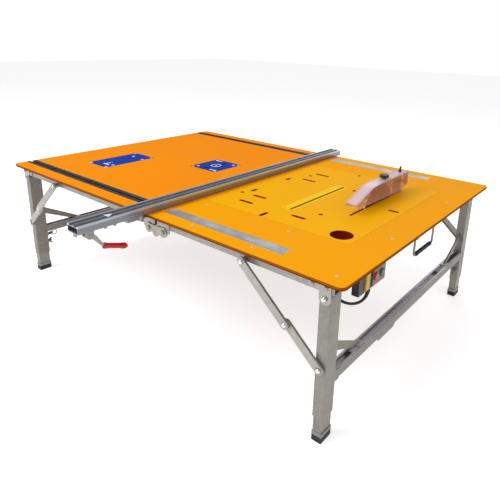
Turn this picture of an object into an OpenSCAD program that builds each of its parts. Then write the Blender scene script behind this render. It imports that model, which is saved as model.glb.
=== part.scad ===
// Folding saw table: two hinged boards on folding, telescoping legs, with a sliding fence and a saw
/* [Table top] */
// Length of the left board
left_l = 743; // [700:1:820]
// Length of the right board, which carries the saw
right_l = 557; // [545:1:640]
// Depth of both boards, front to back
board_w = 900; // [860:1:1000]
// Height of the work surface above the floor
top_h = 390; // [380:1:460]
// Thickness of the boards
board_t = 7.5; // [7:0.5:9]
// Radius of the outer corners of the boards
corner_r = 15; // [5:1:30]
// Gap between the two boards at the joint
joint_gap = 1; // [0.6:0.1:2]

/* [Frame] */
// Width of the frame tubes
rail_s = 20; // [18:1:24]
// Height of the frame tubes
rail_h = 24.5; // [22:0.5:27]
// Wall of the frame tubes
rail_wall = 1.6; // [1:0.1:2.5]
// Distance of the frame from the front and back edges
rail_in = 18; // [16.5:0.5:24]
// Distance of the frame from the ends of the table
end_in = 28; // [24:1:32]

/* [Legs] */
// Leg tube size along the table
leg_x = 25; // [22:1:30]
// Leg tube size across the table
leg_y = 40; // [34:1:48]
// Wall of the leg tubes
leg_wall = 1.5; // [1.2:0.1:2.5]
// Distance of the legs from the ends of the table
leg_in = 35; // [32:1:40]
// Height of the lower end of the outer tubes above the floor
leg_end = 62; // [50:1:75]
// Height of the rubber feet
foot_h = 15; // [12:1:22]
// Height of the middle of the crossbars above the floor
cross_z = 150; // [135:1:165]
// Height of the crossbar channels
cross_h = 22; // [18:1:26]
// Wall of the crossbar channels
cross_wall = 2; // [1.5:0.1:3]
// Reach of the crossbar braces along the crossbar
brace_reach = 120; // [90:1:150]
// Width of the braces
brace_w = 18; // [14:1:22]

/* [Stays] */
// Width of the folding stays
stay_w = 20; // [16:1:24]
// Depth of the folding stay channels
stay_d = 6; // [5:0.5:6.5]
// Sheet thickness of the stays
stay_wall = 1.5; // [1:0.1:2]
// Distance of the stay's rail rivet from the leg pivot, along the table
stay_run = 206; // [200:1:214]
// Distance of the stay's leg rivet below the leg pivot
stay_drop = 160; // [155:1:166]
// Radius of the stay rivets
rivet_r = 4; // [3:0.5:5]

/* [Middle hinge] */
// Depth of the hinge pivots below the work surface
hinge_drop = 42; // [41:0.5:48]
// Distance of each hinge pivot from the joint
hinge_run = 28; // [24:1:34]
// Radius of the rounded ends of the hinge plates
hinge_r = 14; // [12:0.5:16]
// Thickness of the bracket, ear and link plates
plate_t = 2.5; // [2:0.1:3]

/* [Saw plate] */
// Length of the inset saw plate along the table
plate_l = 452; // [430:1:465]
// Depth of the inset saw plate, front to back
plate_w = 544; // [520:1:600]
// Thickness of the inset saw plate
inset_t = 4; // [3:0.5:5]
// Width of the two saw slots
slot_w = 6; // [5:0.5:8]
// Radius of the round hole for a router or jigsaw
hole_r = 28; // [20:1:30]

/* [Saw] */
// Radius of the saw blade
blade_r = 88; // [80:1:92]
// Thickness of the saw blade
blade_t = 2.4; // [1.8:0.1:3]
// Number of blade teeth
teeth = 36; // [24:1:48]
// Depth of the arbor below the work surface
arbor_drop = 32; // [31:0.5:36]
// Radius of the motor housing
motor_r = 38; // [32:1:39]
// Width of the blade guard
guard_w = 34; // [26:1:40]
// Wall of the blade guard
guard_wall = 2; // [1.5:0.1:2.5]

/* [Fence] */
// Width of the fence extrusion
fence_w = 44; // [38:1:52]
// Height of the fence extrusion
fence_h = 20; // [18:1:26]
// How far the fence reaches past the front edge
fence_front = 187; // [170:1:210]
// How far the fence reaches past the back edge
fence_back = 27; // [22:1:40]
// Gap between the fence and the joint
fence_gap = 12; // [8:1:30]

/* [Fittings] */
// Width of the T-tracks
track_w = 34; // [28:1:38]
// Depth of the T-tracks
track_h = 5.5; // [5:0.5:6]
// Distance of the T-tracks and scales from the front and back edges
track_in = 58; // [54:1:66]
// Length of the scales
scale_l = 381; // [300:1:395]
// Width of the scales
scale_w = 34; // [26:1:38]
// Width of the carry handle
handle_w = 126; // [110:1:136]
// Drop of the carry handle grip below its pivots
handle_drop = 47; // [40:1:54]
// Diameter of the switch cable
cable_d = 6; // [5:0.5:7]

/* [Hidden] */
$fn = 48;

// Colours
orange = [1.0, 0.60, 0.0];
amber = [1.0, 0.68, 0.05];
steel = [0.60, 0.58, 0.54];
bright = [0.78, 0.80, 0.84];
dark = [0.10, 0.10, 0.12];
blue = [0.0, 0.16, 0.78];

// Clearances: a seat that touches nothing, and a running fit on a pin
seat = 0.3;
run_fit = 0.05;
wide = 700;

// Levels and places worked out from the driving sizes
board_l = left_l + right_l;
mid_x = board_l / 2;
mid_y = (board_w + fence_back - fence_front) / 2;
under = top_h - board_t;
rail_z = under - rail_h;
rail_len_r = right_l - end_in - joint_gap / 2 - 3;
rail_len_l = left_l - end_in - joint_gap / 2 - 3;
leg_face = rail_in + seat;
pivot_x = leg_in + leg_x / 2;
pivot_z = rail_z - 0.5 - leg_x / 2;
bolt_r = 4;
hinge_z = top_h - hinge_drop;

// Layers in front of the rails, from the outside in: upper stay, lower stay, bracket plates
lower_y = rail_in - plate_t - stay_d - seat;
upper_y = lower_y - stay_d - 1.5;
bracket_y = rail_in - plate_t;
link_y = bracket_y - plate_t - seat;

// The stay lies straight at rest and flat on itself when the leg is folded, so its two parts
// differ by the distance between its end rivets in the folded state
stay_rise = pivot_z + 17;
rise = stay_rise - pivot_z;
stay_span = sqrt(pow(stay_run, 2) + pow(stay_drop + rise, 2));
fold_span = sqrt(pow(stay_run - stay_drop, 2) + pow(rise, 2));
upper_len = (stay_span + fold_span) / 2;
lower_len = (stay_span - fold_span) / 2;
stay_tilt = atan2(stay_drop + rise, stay_run);

// Saw plate and its slots, in table coordinates
plate_x = left_l + 12;
plate_y = (board_w - plate_w) / 2 + 4;
saw_x = plate_x + plate_l - 95;
saw_y = plate_y + 321;
slot_len = 311;
strip_x = left_l + 198;
strip_w = 40;
strip_len = 290;
strip_y = plate_y + 94;
strip_slot = 29;
strip_t = 2;
hole_x = plate_x + plate_l - 43;
hole_y = plate_y + 38;

// Places of the fixings and of the fittings
screw_r = 3.6;
handle_y = board_w * 0.485;
handle_x = board_l - end_in + 8;
handle_z = under - 16.5;
wire_r = 2.5;
switch_y = 85;
switch_len = 115;
switch_h = 46;
switch_z = under - 4.5 - switch_h;
switch_d = 20;
switch_x = board_l - end_in + seat;
fence_x = left_l - fence_gap - fence_w;

// Positions are written from the table's front left corner, and moved to the middle of the model
module placed() translate([-mid_x, -mid_y, 0]) children();

// Draws its children at the left end, or mirrored at the right end
module end_of(right) {
    if (right) translate([board_l, 0, 0]) mirror([1, 0, 0]) children();
    else children();
}

// Draws its children at the front, or mirrored at the back
module edge_of(back) {
    if (back) translate([0, board_w, 0]) mirror([0, 1, 0]) children();
    else children();
}

module both_edges() {
    edge_of(false) children();
    edge_of(true) children();
}

// A cylinder along Y from y, and one along X from x
module along_y(r, len) rotate([-90, 0, 0]) cylinder(r = r, h = len);
module along_x(r, len) rotate([0, 90, 0]) cylinder(r = r, h = len);

// A block given by its lowest corner and its size
module block(at, size) translate(at) cube(size);

// A rectangular tube that stands on z = 0
module box_tube(x, y, len, wall) {
    difference() {
        cube([x, y, len]);
        translate([wall, wall, -1]) cube([x - 2 * wall, y - 2 * wall, len + 2]);
    }
}

// A flat slot outline with round ends, along X from end to end
module slot_2d(len, w) {
    translate([w / 2, -w / 2]) square([len - w, w]);
    translate([w / 2, 0]) circle(d = w);
    translate([len - w / 2, 0]) circle(d = w);
}

// A plate outline with two rounded corners at its far end
module board_2d(len, w, r) {
    difference() {
        square([len, w]);
        for (y = [0, w - r]) translate([len - r, y]) square([r + 1, r]);
    }
    for (y = [r, w - r]) translate([len - r, y]) circle(r = r);
}

// Slots through the saw plate and the board: [from joint, from plate front, length, turned]
small_slots = [
    [80, 360, 50, 0], [78, 442, 50, 0], [75, 123, 48, 0], [76, 64, 48, 0], [256, 65, 44, 0],
    [424, 275, 30, 0], [47, 314, 26, 90], [47, 147, 26, 90], [199, 5, 32, 90],
    [72, 408, 12, 0], [190, 526, 12, 0], [29, 121, 12, 0], [303, 120, 12, 0], [269, 358, 12, 90]
];
small_w = 10.5;

module plate_openings(grow) {
    for (s = small_slots)
        translate([left_l + s[0], plate_y + s[1], 0]) rotate(s[3])
            linear_extrude(wide) translate([-grow, 0]) slot_2d(s[2] + 2 * grow, small_w + 2 * grow);
    translate([saw_x, saw_y - slot_len / 2 - grow, 0]) rotate(90)
        linear_extrude(wide) slot_2d(slot_len + 2 * grow, slot_w + 2 * grow);
}

// Screws in the right board: [from the table's left end, from its front edge]. The end row is over
// the end rail, and at least this far from the saw plate.
screw_gap = 8;
end_row = max(board_l - end_in - rail_s / 2, plate_x + plate_l + screw_gap);
right_spots = [
    [left_l + 123, rail_in + rail_s / 2], [left_l + 311, rail_in + rail_s / 2],
    [left_l + 38, plate_y - 26], [left_l + 315, plate_y - 28],
    [end_row, 38], [end_row, 283], [end_row, 638]
];

module screw_holes(spots) {
    for (s = spots) translate([s[0], s[1], 0]) {
        translate([0, 0, under - 1]) cylinder(r = 2.2, h = board_t + 2);
        translate([0, 0, top_h - 2.5]) cylinder(r = screw_r + 0.2, h = 5);
    }
}

// A screw with a flat head and a cross recess, flush with the board
module board_screw() {
    difference() {
        translate([0, 0, top_h - 2.5]) cylinder(r = screw_r, h = 2.3);
        for (a = [0, 90]) translate([0, 0, top_h - 1.2]) rotate(a) translate([-2.2, -0.4, 0]) cube([4.4, 0.8, 4]);
    }
    translate([0, 0, under + 0.1]) cylinder(r = 1.9, h = board_t - 2.6);
}

module screws(spots) {
    for (s = spots) translate([s[0], s[1], 0]) board_screw();
}

module scale_cut(grow, depth) {
    both_edges() block([left_l + 3 - grow, track_in - scale_w / 2 - grow, top_h - depth], [scale_l + 2 * grow, scale_w + 2 * grow, depth + 1]);
}

module right_board() color(orange) placed() difference() {
    translate([left_l + joint_gap / 2, 0, under])
        linear_extrude(board_t) board_2d(right_l - joint_gap / 2, board_w, corner_r);
    block([plate_x - seat, plate_y - seat, top_h - inset_t], [plate_l + 2 * seat, plate_w + 2 * seat, inset_t + 1]);
    plate_openings(2);
    block([strip_x + strip_slot - slot_w, strip_y + 3, 0], [2 * slot_w, strip_len - 12, wide]);
    translate([hole_x, hole_y, 0]) cylinder(r = hole_r + 3, h = wide);
    scale_cut(0.2, 1);
    screw_holes(right_spots);
}

module saw_plate() color(amber) placed() difference() {
    block([plate_x, plate_y, top_h - inset_t], [plate_l, plate_w, inset_t]);
    plate_openings(0);
    block([strip_x - 0.2, strip_y - 0.2, top_h - strip_t], [strip_w + 0.4, strip_len + 0.4, wide]);
    block([strip_x + strip_slot - slot_w, strip_y + 3, 0], [2 * slot_w, strip_len - 12, wide]);
    translate([hole_x, hole_y, 0]) cylinder(r = hole_r, h = wide);
}

// Slim strip round the first slot, with the slot cut through it
module throat_strip() color([1.0, 0.78, 0.12]) placed() difference() {
    block([strip_x, strip_y, top_h - strip_t], [strip_w, strip_len, strip_t]);
    translate([strip_x + strip_slot, strip_y + 4, 0]) rotate(90)
        linear_extrude(wide) slot_2d(strip_len - 14, slot_w);
    for (y = [8, strip_len - 8]) translate([strip_x + 8, strip_y + y, 0]) cylinder(r = 1.8, h = wide);
}

module right_scales() color(bright) placed() scale_strips();

module scale_strips() {
    both_edges() difference() {
        block([left_l + 3, track_in - scale_w / 2, top_h - 1], [scale_l, scale_w, 0.9]);
        for (n = [1:1:floor(scale_l / 10) - 1])
            block([left_l + 3 + n * 10 - 0.3, track_in - scale_w / 2 - 1, top_h - 0.25], [0.8, n % 5 == 0 ? 16 : 9, 1]);
    }
}

// A closed frame of square tube, with mitred ends left out where the tubes are welded
module half_frame(x, len) {
    both_edges() translate([x, rail_in, rail_z]) rotate([90, 0, 90]) box_tube(rail_s, rail_h, len, rail_wall);
    for (at = [x, x + len - rail_s])
        translate([at, board_w - rail_in - rail_s, rail_z]) rotate([90, 0, 0])
            box_tube(rail_s, rail_h, board_w - 2 * rail_in - 2 * rail_s, rail_wall);
}

module right_frame() color(steel) placed() half_frame(left_l + joint_gap / 2 + 3, rail_len_r);
module left_frame() color(steel) placed() half_frame(end_in, rail_len_l);

// Bracket that holds a leg: a plate with a round lower end, and the pivot bolt and rivet heads on it
module leg_bracket() {
    difference() {
        translate([0, rail_in, 0]) rotate([90, 0, 0]) linear_extrude(plate_t) difference() {
            union() {
                translate([pivot_x, pivot_z]) circle(r = leg_x / 2 + 1);
                translate([pivot_x - leg_x / 2 - 1, pivot_z]) square([leg_x + 2, under - seat - pivot_z]);
                translate([pivot_x - leg_x / 2 - 1, rail_z + 2]) square([leg_x + 28, under - seat - rail_z - 2]);
            }
            translate([pivot_x, pivot_z]) circle(r = bolt_r + run_fit);
        }
    }
    for (x = [-4, 28]) translate([pivot_x + x, bracket_y - 4, rail_z + rail_h / 2]) rotate([-90, 0, 0])
        cylinder(r1 = 3, r2 = 5.5, h = 4);
    difference() {
        union() {
            translate([pivot_x, bracket_y - 3, pivot_z]) rotate([-90, 0, 0]) cylinder(r = 6.5, h = 3, $fn = 6);
            translate([pivot_x, bracket_y, pivot_z]) along_y(bolt_r, plate_t + seat + leg_y + 2.5);
            translate([pivot_x, leg_face + leg_y + seat, pivot_z]) rotate([-90, 0, 0]) cylinder(r = 6.5, h = 4, $fn = 6);
        }
    }
}

// Rail rivet of the stay, with its spacer against the rail
module rail_rivet() {
    translate([pivot_x + stay_run, 0, stay_rise]) {
        translate([0, upper_y - 1.2, 0]) along_y(rivet_r + 3, 1.2);
        translate([0, upper_y, 0]) along_y(rivet_r, rail_in - upper_y);
        translate([0, upper_y + stay_d + seat, 0]) along_y(rivet_r + 3, rail_in - upper_y - stay_d - seat);
    }
}

// Ear plate on the end of a half frame, for the middle hinge
module hinge_ear(side) {
    translate([left_l, rail_in, 0]) rotate([90, 0, 0]) linear_extrude(plate_t) difference() {
        union() {
            translate([side * hinge_run, hinge_z]) circle(r = hinge_r);
            translate([side > 0 ? 5 : -5 - 2 * (hinge_run - 5), hinge_z]) square([2 * (hinge_run - 5), under - seat - hinge_z]);
        }
        translate([side * hinge_run, hinge_z]) circle(r = bolt_r + run_fit);
    }
}

// Lugs that carry the wire of the handle
module handle_lugs() {
    for (s = [-1, 1]) translate([0, handle_y + s * (handle_w / 2 - 10) - 2, 0]) difference() {
        union() {
            block([board_l - end_in, 0, handle_z - 6], [8, 4, 12]);
            translate([handle_x, 0, handle_z]) along_y(6, 4);
        }
        translate([handle_x, -1, handle_z]) along_y(wire_r + run_fit, 6);
    }
}

module right_brackets() color(bright) placed() {
    both_edges() {
        end_of(true) { leg_bracket(); rail_rivet(); }
        hinge_ear(1);
    }
    handle_lugs();
}

module left_brackets() color(bright) placed() both_edges() {
    leg_bracket();
    rail_rivet();
    hinge_ear(-1);
}

module right_screws() color(bright) placed() screws(right_spots);

// Switch on the right end: body, yellow flap frame, and two buttons that press in
button_r = 9;
start_y = switch_y + 93;
stop_y = switch_y + 67;
button_z = switch_z + switch_h / 2;

module switch_box() color([0.55, 0.56, 0.52]) placed() difference() {
    union() {
        block([switch_x, switch_y, switch_z], [switch_d - 4, switch_len, switch_h]);
        block([switch_x + switch_d - 4, switch_y + 25, switch_z + 4], [3, 15, switch_h - 8]);
        block([switch_x + switch_d - 4, switch_y + 54, switch_z + 4], [2, 52, switch_h - 8]);
        translate([switch_x + 9, switch_y + 55, switch_z - 6]) cylinder(r1 = 4, r2 = 6, h = 6);
    }
    for (y = [start_y, stop_y]) translate([switch_x + 6, y, button_z]) along_x(button_r + 0.3, wide);
}

module press_button(y) translate([switch_x + 10, y, button_z]) difference() {
    union() {
        along_x(button_r, switch_d - 9);
        translate([switch_d - 9, 0, 0]) along_x(button_r - 1.5, 1);
    }
    translate([-1, 0, 0]) along_x(button_r - 3, 5);
}

module start_button() color([0.1, 0.5, 0.2]) placed() press_button(start_y);
module stop_button() color([0.8, 0.1, 0.1]) placed() press_button(stop_y);

// Cable from the switch down in a loop and up into the saw motor: a tube swept along chosen points
cable_points = [
    [1281.3, 140, 325.7], [1281.3, 139.3, 320], [1281, 133, 312], [1280, 121, 307.5], [1277.5, 106, 307], [1271, 91, 309],
    [1261, 82, 312], [1249, 80, 315.5], [1238, 90, 319], [1227, 120, 323.5], [1219, 180, 326], [1213, 240, 327],
    [1209, 310, 327], [1205, 370, 327], [1198, 420, 327], [1192, 446, 328], [1190, 464, 329]
];

function unit(v) = v / norm(v);
function cable_ahead(p, i) = unit(p[min(i + 1, len(p) - 1)] - p[max(i - 1, 0)]);
function cable_side(t) = unit(cross(t, abs(t[2]) > 0.9 ? [0, 1, 0] : [0, 0, 1]));
function blend_point(p, s) = let (
        n = len(p), k = min(floor(s), n - 2), t = s - k,
        a = p[max(k - 1, 0)], b = p[k], c = p[k + 1], d = p[min(k + 2, n - 1)])
    0.5 * (2 * b + (c - a) * t + (2 * a - 5 * b + 4 * c - d) * t * t + (3 * b - a - 3 * c + d) * t * t * t);

// Sweeps a round section of the given sides along points, each ring turned from the last without twist
function turned(side, t) = unit(side - (side * t) * t);
function sides_along(p, i = 0, last = undef) = i == len(p) ? [] :
    let (t = cable_ahead(p, i), s = is_undef(last) ? cable_side(t) : turned(last, t))
    concat([s], sides_along(p, i + 1, s));

module swept_tube(p, r, n) {
    side = sides_along(p);
    rings = len(p);
    points = [for (i = [0:rings - 1]) let (t = cable_ahead(p, i), u = side[i], w = cross(t, u))
        for (k = [0:n - 1]) p[i] + r * (cos(360 * k / n) * u + sin(360 * k / n) * w)];
    walls = [for (i = [0:rings - 2], k = [0:n - 1]) let (a = i * n + k, b = i * n + (k + 1) % n)
        each [[a, b, b + n], [a, b + n, a + n]]];
    caps = [[for (k = [n - 1:-1:0]) k], [for (k = [0:n - 1]) (rings - 1) * n + k]];
    polyhedron(points, concat([for (f = walls) [f[2], f[1], f[0]]], [for (f = caps) [for (k = [n - 1:-1:0]) f[k]]]));
}

cable_top = switch_z - 6;
cable_route = [for (p = cable_points) [p[0] > 1222 ? p[0] - 1300 + board_l : p[0] - 743 + left_l, p[1], p[2] - 326 + cable_top]];
cable_rings = [for (s = [0:0.25:len(cable_route) - 1]) blend_point(cable_route, min(s, len(cable_route) - 1.001))];
module switch_cable() color(dark) placed() swept_tube(cable_rings, cable_d / 2, 8);

// Carry handle: a wire bail in two lugs, with a plastic grip on its lower run
module handle_wire() color(bright) placed() {
    half = handle_w / 2 - 4;
    for (s = [-1, 1]) {
        translate([handle_x, handle_y + s * half, handle_z - handle_drop + 6]) cylinder(r = wire_r, h = handle_drop - 6);
        translate([handle_x, handle_y + s * half, handle_z]) sphere(r = wire_r);
        translate([handle_x, handle_y + (s > 0 ? half - 10 : -half), handle_z]) along_y(wire_r, 10);
        translate([handle_x, handle_y + s * (half - 6), handle_z - handle_drop + 6]) rotate([90, 0, 90])
            rotate(s > 0 ? -90 : 180) rotate_extrude(angle = 90) translate([6, 0]) circle(r = wire_r);
    }
    translate([handle_x, handle_y - half + 6, handle_z - handle_drop]) along_y(wire_r, 2 * half - 12);
}

module handle_grip() color(dark) placed() difference() {
    translate([handle_x, handle_y, handle_z - handle_drop]) {
        for (n = [0:6]) translate([0, -45.5 + n * 13, 0]) along_y(n % 2 == 0 ? 5.5 : 5, 13);
    }
    translate([handle_x, handle_y - 50, handle_z - handle_drop]) along_y(wire_r + 0.1, 100);
}

// Saw hung under the board: motor housing with cooling ribs and gear case, on a cradle
motor_x = saw_x + 33;
motor_len = 66;
motor_z = under - 5 - motor_r;
arbor_z = top_h - arbor_drop;
cradle_w = 2 * motor_r + 2 * seat;

module saw_motor() color([0.25, 0.27, 0.30]) placed() difference() {
    union() {
        translate([motor_x, saw_y, motor_z]) along_x(motor_r, motor_len);
        translate([motor_x + motor_len, saw_y, motor_z]) along_x(motor_r - 6, 4);
        translate([saw_x + 8, saw_y, motor_z + 14]) along_x(motor_r - 12, 25);
    }
    for (a = [200:20:340]) translate([motor_x + 38, saw_y, motor_z]) rotate([a, 0, 0])
        translate([0, motor_r - 2, -1.5]) cube([24, 5, 3]);
    translate([saw_x, saw_y, arbor_z]) along_x(8 + run_fit, 20);
    for (s = [-1, 1]) translate([motor_x + 15, saw_y + s * (motor_r + 1), motor_z]) rotate([s * 90, 0, 0])
        translate([0, 0, -7]) cylinder(r = 4 + run_fit, h = 14);
}

module saw_mount() color(steel) placed() {
    block([motor_x + 4, saw_y - cradle_w / 2 - 3, under - 3], [30, cradle_w + 6, 3]);
    for (s = [0, 1]) {
        y = saw_y - cradle_w / 2 - 3 + s * (cradle_w + 3);
        block([motor_x + 4, y, motor_z - 12], [30, 3, under - 3 - motor_z + 12]);
        translate([motor_x + 15, s == 0 ? y - 4 : y + 3, motor_z]) along_y(7, 4);
        translate([motor_x + 15, s == 0 ? y : y - 5, motor_z]) along_y(4, 8);
    }
}

// Blade with gullets between its teeth, its flanges and its arbor
gullet_r = 3.2;
module saw_blade() color([0.45, 0.30, 0.22]) placed() {
    translate([saw_x, saw_y, arbor_z]) rotate([0, 90, 0]) difference() {
        translate([0, 0, -blade_t / 2]) cylinder(r = blade_r, h = blade_t, $fn = 96);
        for (k = [0:teeth - 1]) rotate(k * 360 / teeth) translate([blade_r - 0.6, 0, -blade_t]) {
            cylinder(r = gullet_r, h = 2 * blade_t, $fn = 16);
        }
        for (k = [0:5]) rotate(k * 60 + 15) translate([blade_r * 0.62, 0, -blade_t]) cylinder(r = 3.5, h = 2 * blade_t);
    }
    translate([saw_x + blade_t / 2, saw_y, arbor_z]) along_x(15, 3);
    translate([saw_x - blade_t / 2 - 3, saw_y, arbor_z]) along_x(15, 3);
    translate([saw_x + blade_t / 2 + 3, saw_y, arbor_z]) along_x(8, 11);
    translate([saw_x - blade_t / 2 - 8, saw_y, arbor_z]) rotate([0, 90, 0]) cylinder(r = 8, h = 5, $fn = 6);
}

// Riving knife behind the blade, on a foot under the board, with an arm that carries the guard
knife_y = saw_y + blade_r + 6;
knife_t = 2;
slot_end = saw_y + slot_len / 2;
guard_pivot_y = saw_y + 143;
guard_lift_z = 34;
guard_pivot_z = top_h + guard_lift_z;
module riving_knife() color(steel) placed() {
    difference() {
        union() {
            translate([saw_x - knife_t / 2, 0, top_h]) rotate([90, 0, 90]) linear_extrude(knife_t) polygon([
                [knife_y - 2, -board_t - 14], [slot_end - 12, -board_t - 14], [slot_end - 12, guard_lift_z],
                [guard_pivot_y - 6, guard_lift_z + 6], [knife_y + 12, 46], [knife_y - 8, 40]
            ]);
            translate([saw_x - knife_t / 2, guard_pivot_y, guard_pivot_z]) along_x(7, knife_t);
        }
        translate([saw_x - 3, saw_y, arbor_z]) along_x(blade_r + 5, 6);
        translate([saw_x - 9, guard_pivot_y, guard_pivot_z]) along_x(3 + run_fit, 18);
    }
    block([saw_x - 14, knife_y, under - 17], [28, slot_end - 12 - knife_y, 3]);
    for (s = [-1, 1]) translate([saw_x + s * 10, knife_y + 14, under - 14]) cylinder(r = 3, h = 14 - seat);
}

// Hollow blade guard with a sloped hood and a flat back, open below and slotted behind for the knife
guard_front = saw_y - 153;
guard_back = saw_y + 155;
guard_top = blade_r - arbor_drop + guard_wall + 4;
hood_y = saw_y - 69;

module guard_2d(inset) polygon([
    [guard_front + inset, inset > 0 ? -20 : 24], [guard_front + inset, 31 - 0.7 * inset],
    [hood_y + 0.3 * inset, guard_top - 3 - inset], [hood_y + 36, guard_top - 0.5 - inset],
    [hood_y + 76, guard_top - inset], [guard_back - inset, guard_top - inset],
    [guard_back - inset, inset > 0 ? -20 : 22], [saw_y + 102, inset > 0 ? -20 : 11],
    [guard_front + 10, inset > 0 ? -20 : 19]
]);

module blade_guard() color([0.9, 0.5, 0.5, 0.55]) placed() {
    difference() {
        translate([saw_x - guard_w / 2, 0, top_h]) rotate([90, 0, 90]) linear_extrude(guard_w) guard_2d(0);
        translate([saw_x - guard_w / 2 + guard_wall, 0, top_h]) rotate([90, 0, 90])
            linear_extrude(guard_w - 2 * guard_wall) guard_2d(guard_wall);
        block([saw_x - 4, guard_back - guard_wall - 1, top_h], [8, guard_wall + 2, 50]);
    }
    translate([saw_x - guard_w / 2 - 2, guard_pivot_y, guard_pivot_z]) {
        along_x(3, guard_w + 4);
        translate([-2, 0, 0]) along_x(5.5, 2);
        translate([guard_w + 4, 0, 0]) along_x(5.5, 2);
    }
}

knob_y = saw_y + 26;
tab_y = saw_y + 130;
module guard_knob() color(dark) placed() translate([saw_x, 0, top_h + guard_top]) {
    translate([0, knob_y, 0]) cylinder(r = 6, h = 4);
    translate([0, knob_y, 4]) difference() {
        cylinder(r = 13, h = 8);
        for (a = [0:60:300]) rotate(a) translate([15, 0, -1]) cylinder(r = 4, h = 10, $fn = 24);
    }
    translate([0, tab_y, 0]) cylinder(r = 4.5, h = 6);
    translate([-1.5, tab_y - 3.5, 4]) rotate([90, 0, 90]) linear_extrude(3)
        polygon([[0, 0], [7, 0], [10, 12], [5, 13], [1, 12]]);
}

// Left board, with grooves for the tracks and recesses for the two inset plates
long_at = [154, 184];
long_size = [108, 200];
square_at = [443, 400];
square_size = [120, 132];
bolt_plate_t = 3;
square_hole_r = 24;

module left_board() color(orange) placed() difference() {
    translate([left_l - joint_gap / 2, 0, under]) mirror([1, 0, 0])
        linear_extrude(board_t) board_2d(left_l - joint_gap / 2, board_w, corner_r);
    both_edges() block([-1, track_in - track_w / 2 - 0.2, top_h - track_h - 0.2], [left_l - 39, track_w + 0.4, track_h + 1]);
    for (p = [[long_at, long_size], [square_at, square_size]]) {
        block([p[0][0] - seat, p[0][1] - seat, top_h - bolt_plate_t], [p[1][0] + 2 * seat, p[1][1] + 2 * seat, 5]);
        block([p[0][0] + 14, p[0][1] + 14, 0], [p[1][0] - 28, p[1][1] - 28, wide]);
    }
}

// Extruded T-track, open at the top, with a wider channel below
module track_2d() difference() {
    translate([-track_w / 2, 0]) square([track_w, track_h]);
    translate([-7, 1]) square([14, track_h - 2.9]);
    translate([-3.5, 1]) square([7, track_h]);
    for (x = [6.5:2.5:track_w / 2 - 2], s = [-1, 1]) translate([s * x - 0.6, track_h - 0.6]) square([1.2, 1]);
}

module left_tracks() color(dark) placed() both_edges()
    translate([0, track_in, top_h - track_h]) rotate([90, 0, 90]) linear_extrude(left_l - 40.5) track_2d();

// Blue steel plates screwed into the board: one long with a finger slot, one square with a centre hole
module inset_plate(at, size) difference() {
    block([at[0], at[1], top_h - bolt_plate_t], [size[0], size[1], bolt_plate_t - 0.1]);
    for (x = [8, size[0] - 8], y = [8, size[1] - 8])
        translate([at[0] + x, at[1] + y, 0]) {
            cylinder(r = 2.6, h = wide);
            translate([0, 0, top_h - 1.4]) cylinder(r = 4.8, h = 5);
        }
}

module long_plate() color(blue) placed() difference() {
    inset_plate(long_at, long_size);
    for (y = [0.3, 0.7]) translate([long_at[0] + 40, long_at[1] + long_size[1] * y, 0])
        linear_extrude(wide) slot_2d(28, 7);
}

module square_plate() color(blue) placed() {
    middle = [square_at[0] + square_size[0] / 2, square_at[1] + square_size[1] / 2, 0];
    difference() {
        inset_plate(square_at, square_size);
        translate(middle) cylinder(r = square_hole_r, h = wide);
        for (y = [-42, 42]) translate(middle + [-18, y, 0]) linear_extrude(wide) slot_2d(36, 7);
    }
}

module plate_screws() color(bright) placed() {
    for (p = [[long_at, long_size], [square_at, square_size]])
        for (x = [8, p[1][0] - 8], y = [8, p[1][1] - 8])
            translate([p[0][0] + x, p[0][1] + y, top_h - bolt_plate_t]) {
                translate([0, 0, 0.1]) cylinder(r = 2.4, h = bolt_plate_t - 1);
                translate([0, 0, bolt_plate_t - 1.3]) cylinder(r = 4.5, h = 1.3);
            }
}

// Middle hinge: lobed link plates with a bolt at each pivot
module link_2d() {
    difference() {
        union() {
            for (s = [-1, 1]) translate([s * hinge_run, 0]) circle(r = hinge_r);
            translate([-hinge_run, -hinge_r + 5]) square([2 * hinge_run, 2 * hinge_r - 7]);
            translate([0, -4]) circle(r = hinge_r);
        }
        for (s = [-1, 1]) translate([s * hinge_run, 0]) circle(r = bolt_r + run_fit);
        translate([0, -4]) circle(r = 3);
    }
}

module hinge_links() color(bright) placed() both_edges()
    translate([left_l, link_y + plate_t, hinge_z]) rotate([90, 0, 0]) linear_extrude(plate_t) link_2d();

module hinge_bolts() color(bright) placed() both_edges() for (s = [-1, 1])
    translate([left_l + s * hinge_run, 0, hinge_z]) {
        translate([0, link_y - 3, 0]) rotate([-90, 0, 0]) cylinder(r = 6.5, h = 3, $fn = 6);
        translate([0, link_y, 0]) along_y(bolt_r, rail_in - link_y + 2);
        translate([0, rail_in + seat, 0]) rotate([-90, 0, 0]) cylinder(r = 6.5, h = 3.5, $fn = 6);
    }

// Fence: hollow extrusion with a shallow channel along its top
fence_len = fence_front + board_w + fence_back;
fence_z = top_h + seat;
module fence_2d() difference() {
    square([fence_w, fence_h]);
    translate([2, 2]) square([fence_w - 4, fence_h - 7]);
    translate([fence_w * 0.1, fence_h - 1.5]) square([2, 3]);
    translate([fence_w * 0.22, fence_h - 3]) square([fence_w * 0.24, 4]);
    translate([fence_w * 0.56, fence_h - 1.5]) square([2, 3]);
    translate([fence_w * 0.68, fence_h - 3]) square([fence_w * 0.22, 4]);
}

module fence_bar() color(bright) placed() translate([fence_x, board_w + fence_back, fence_z])
    rotate([90, 0, 0]) linear_extrude(fence_len) fence_2d();

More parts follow.
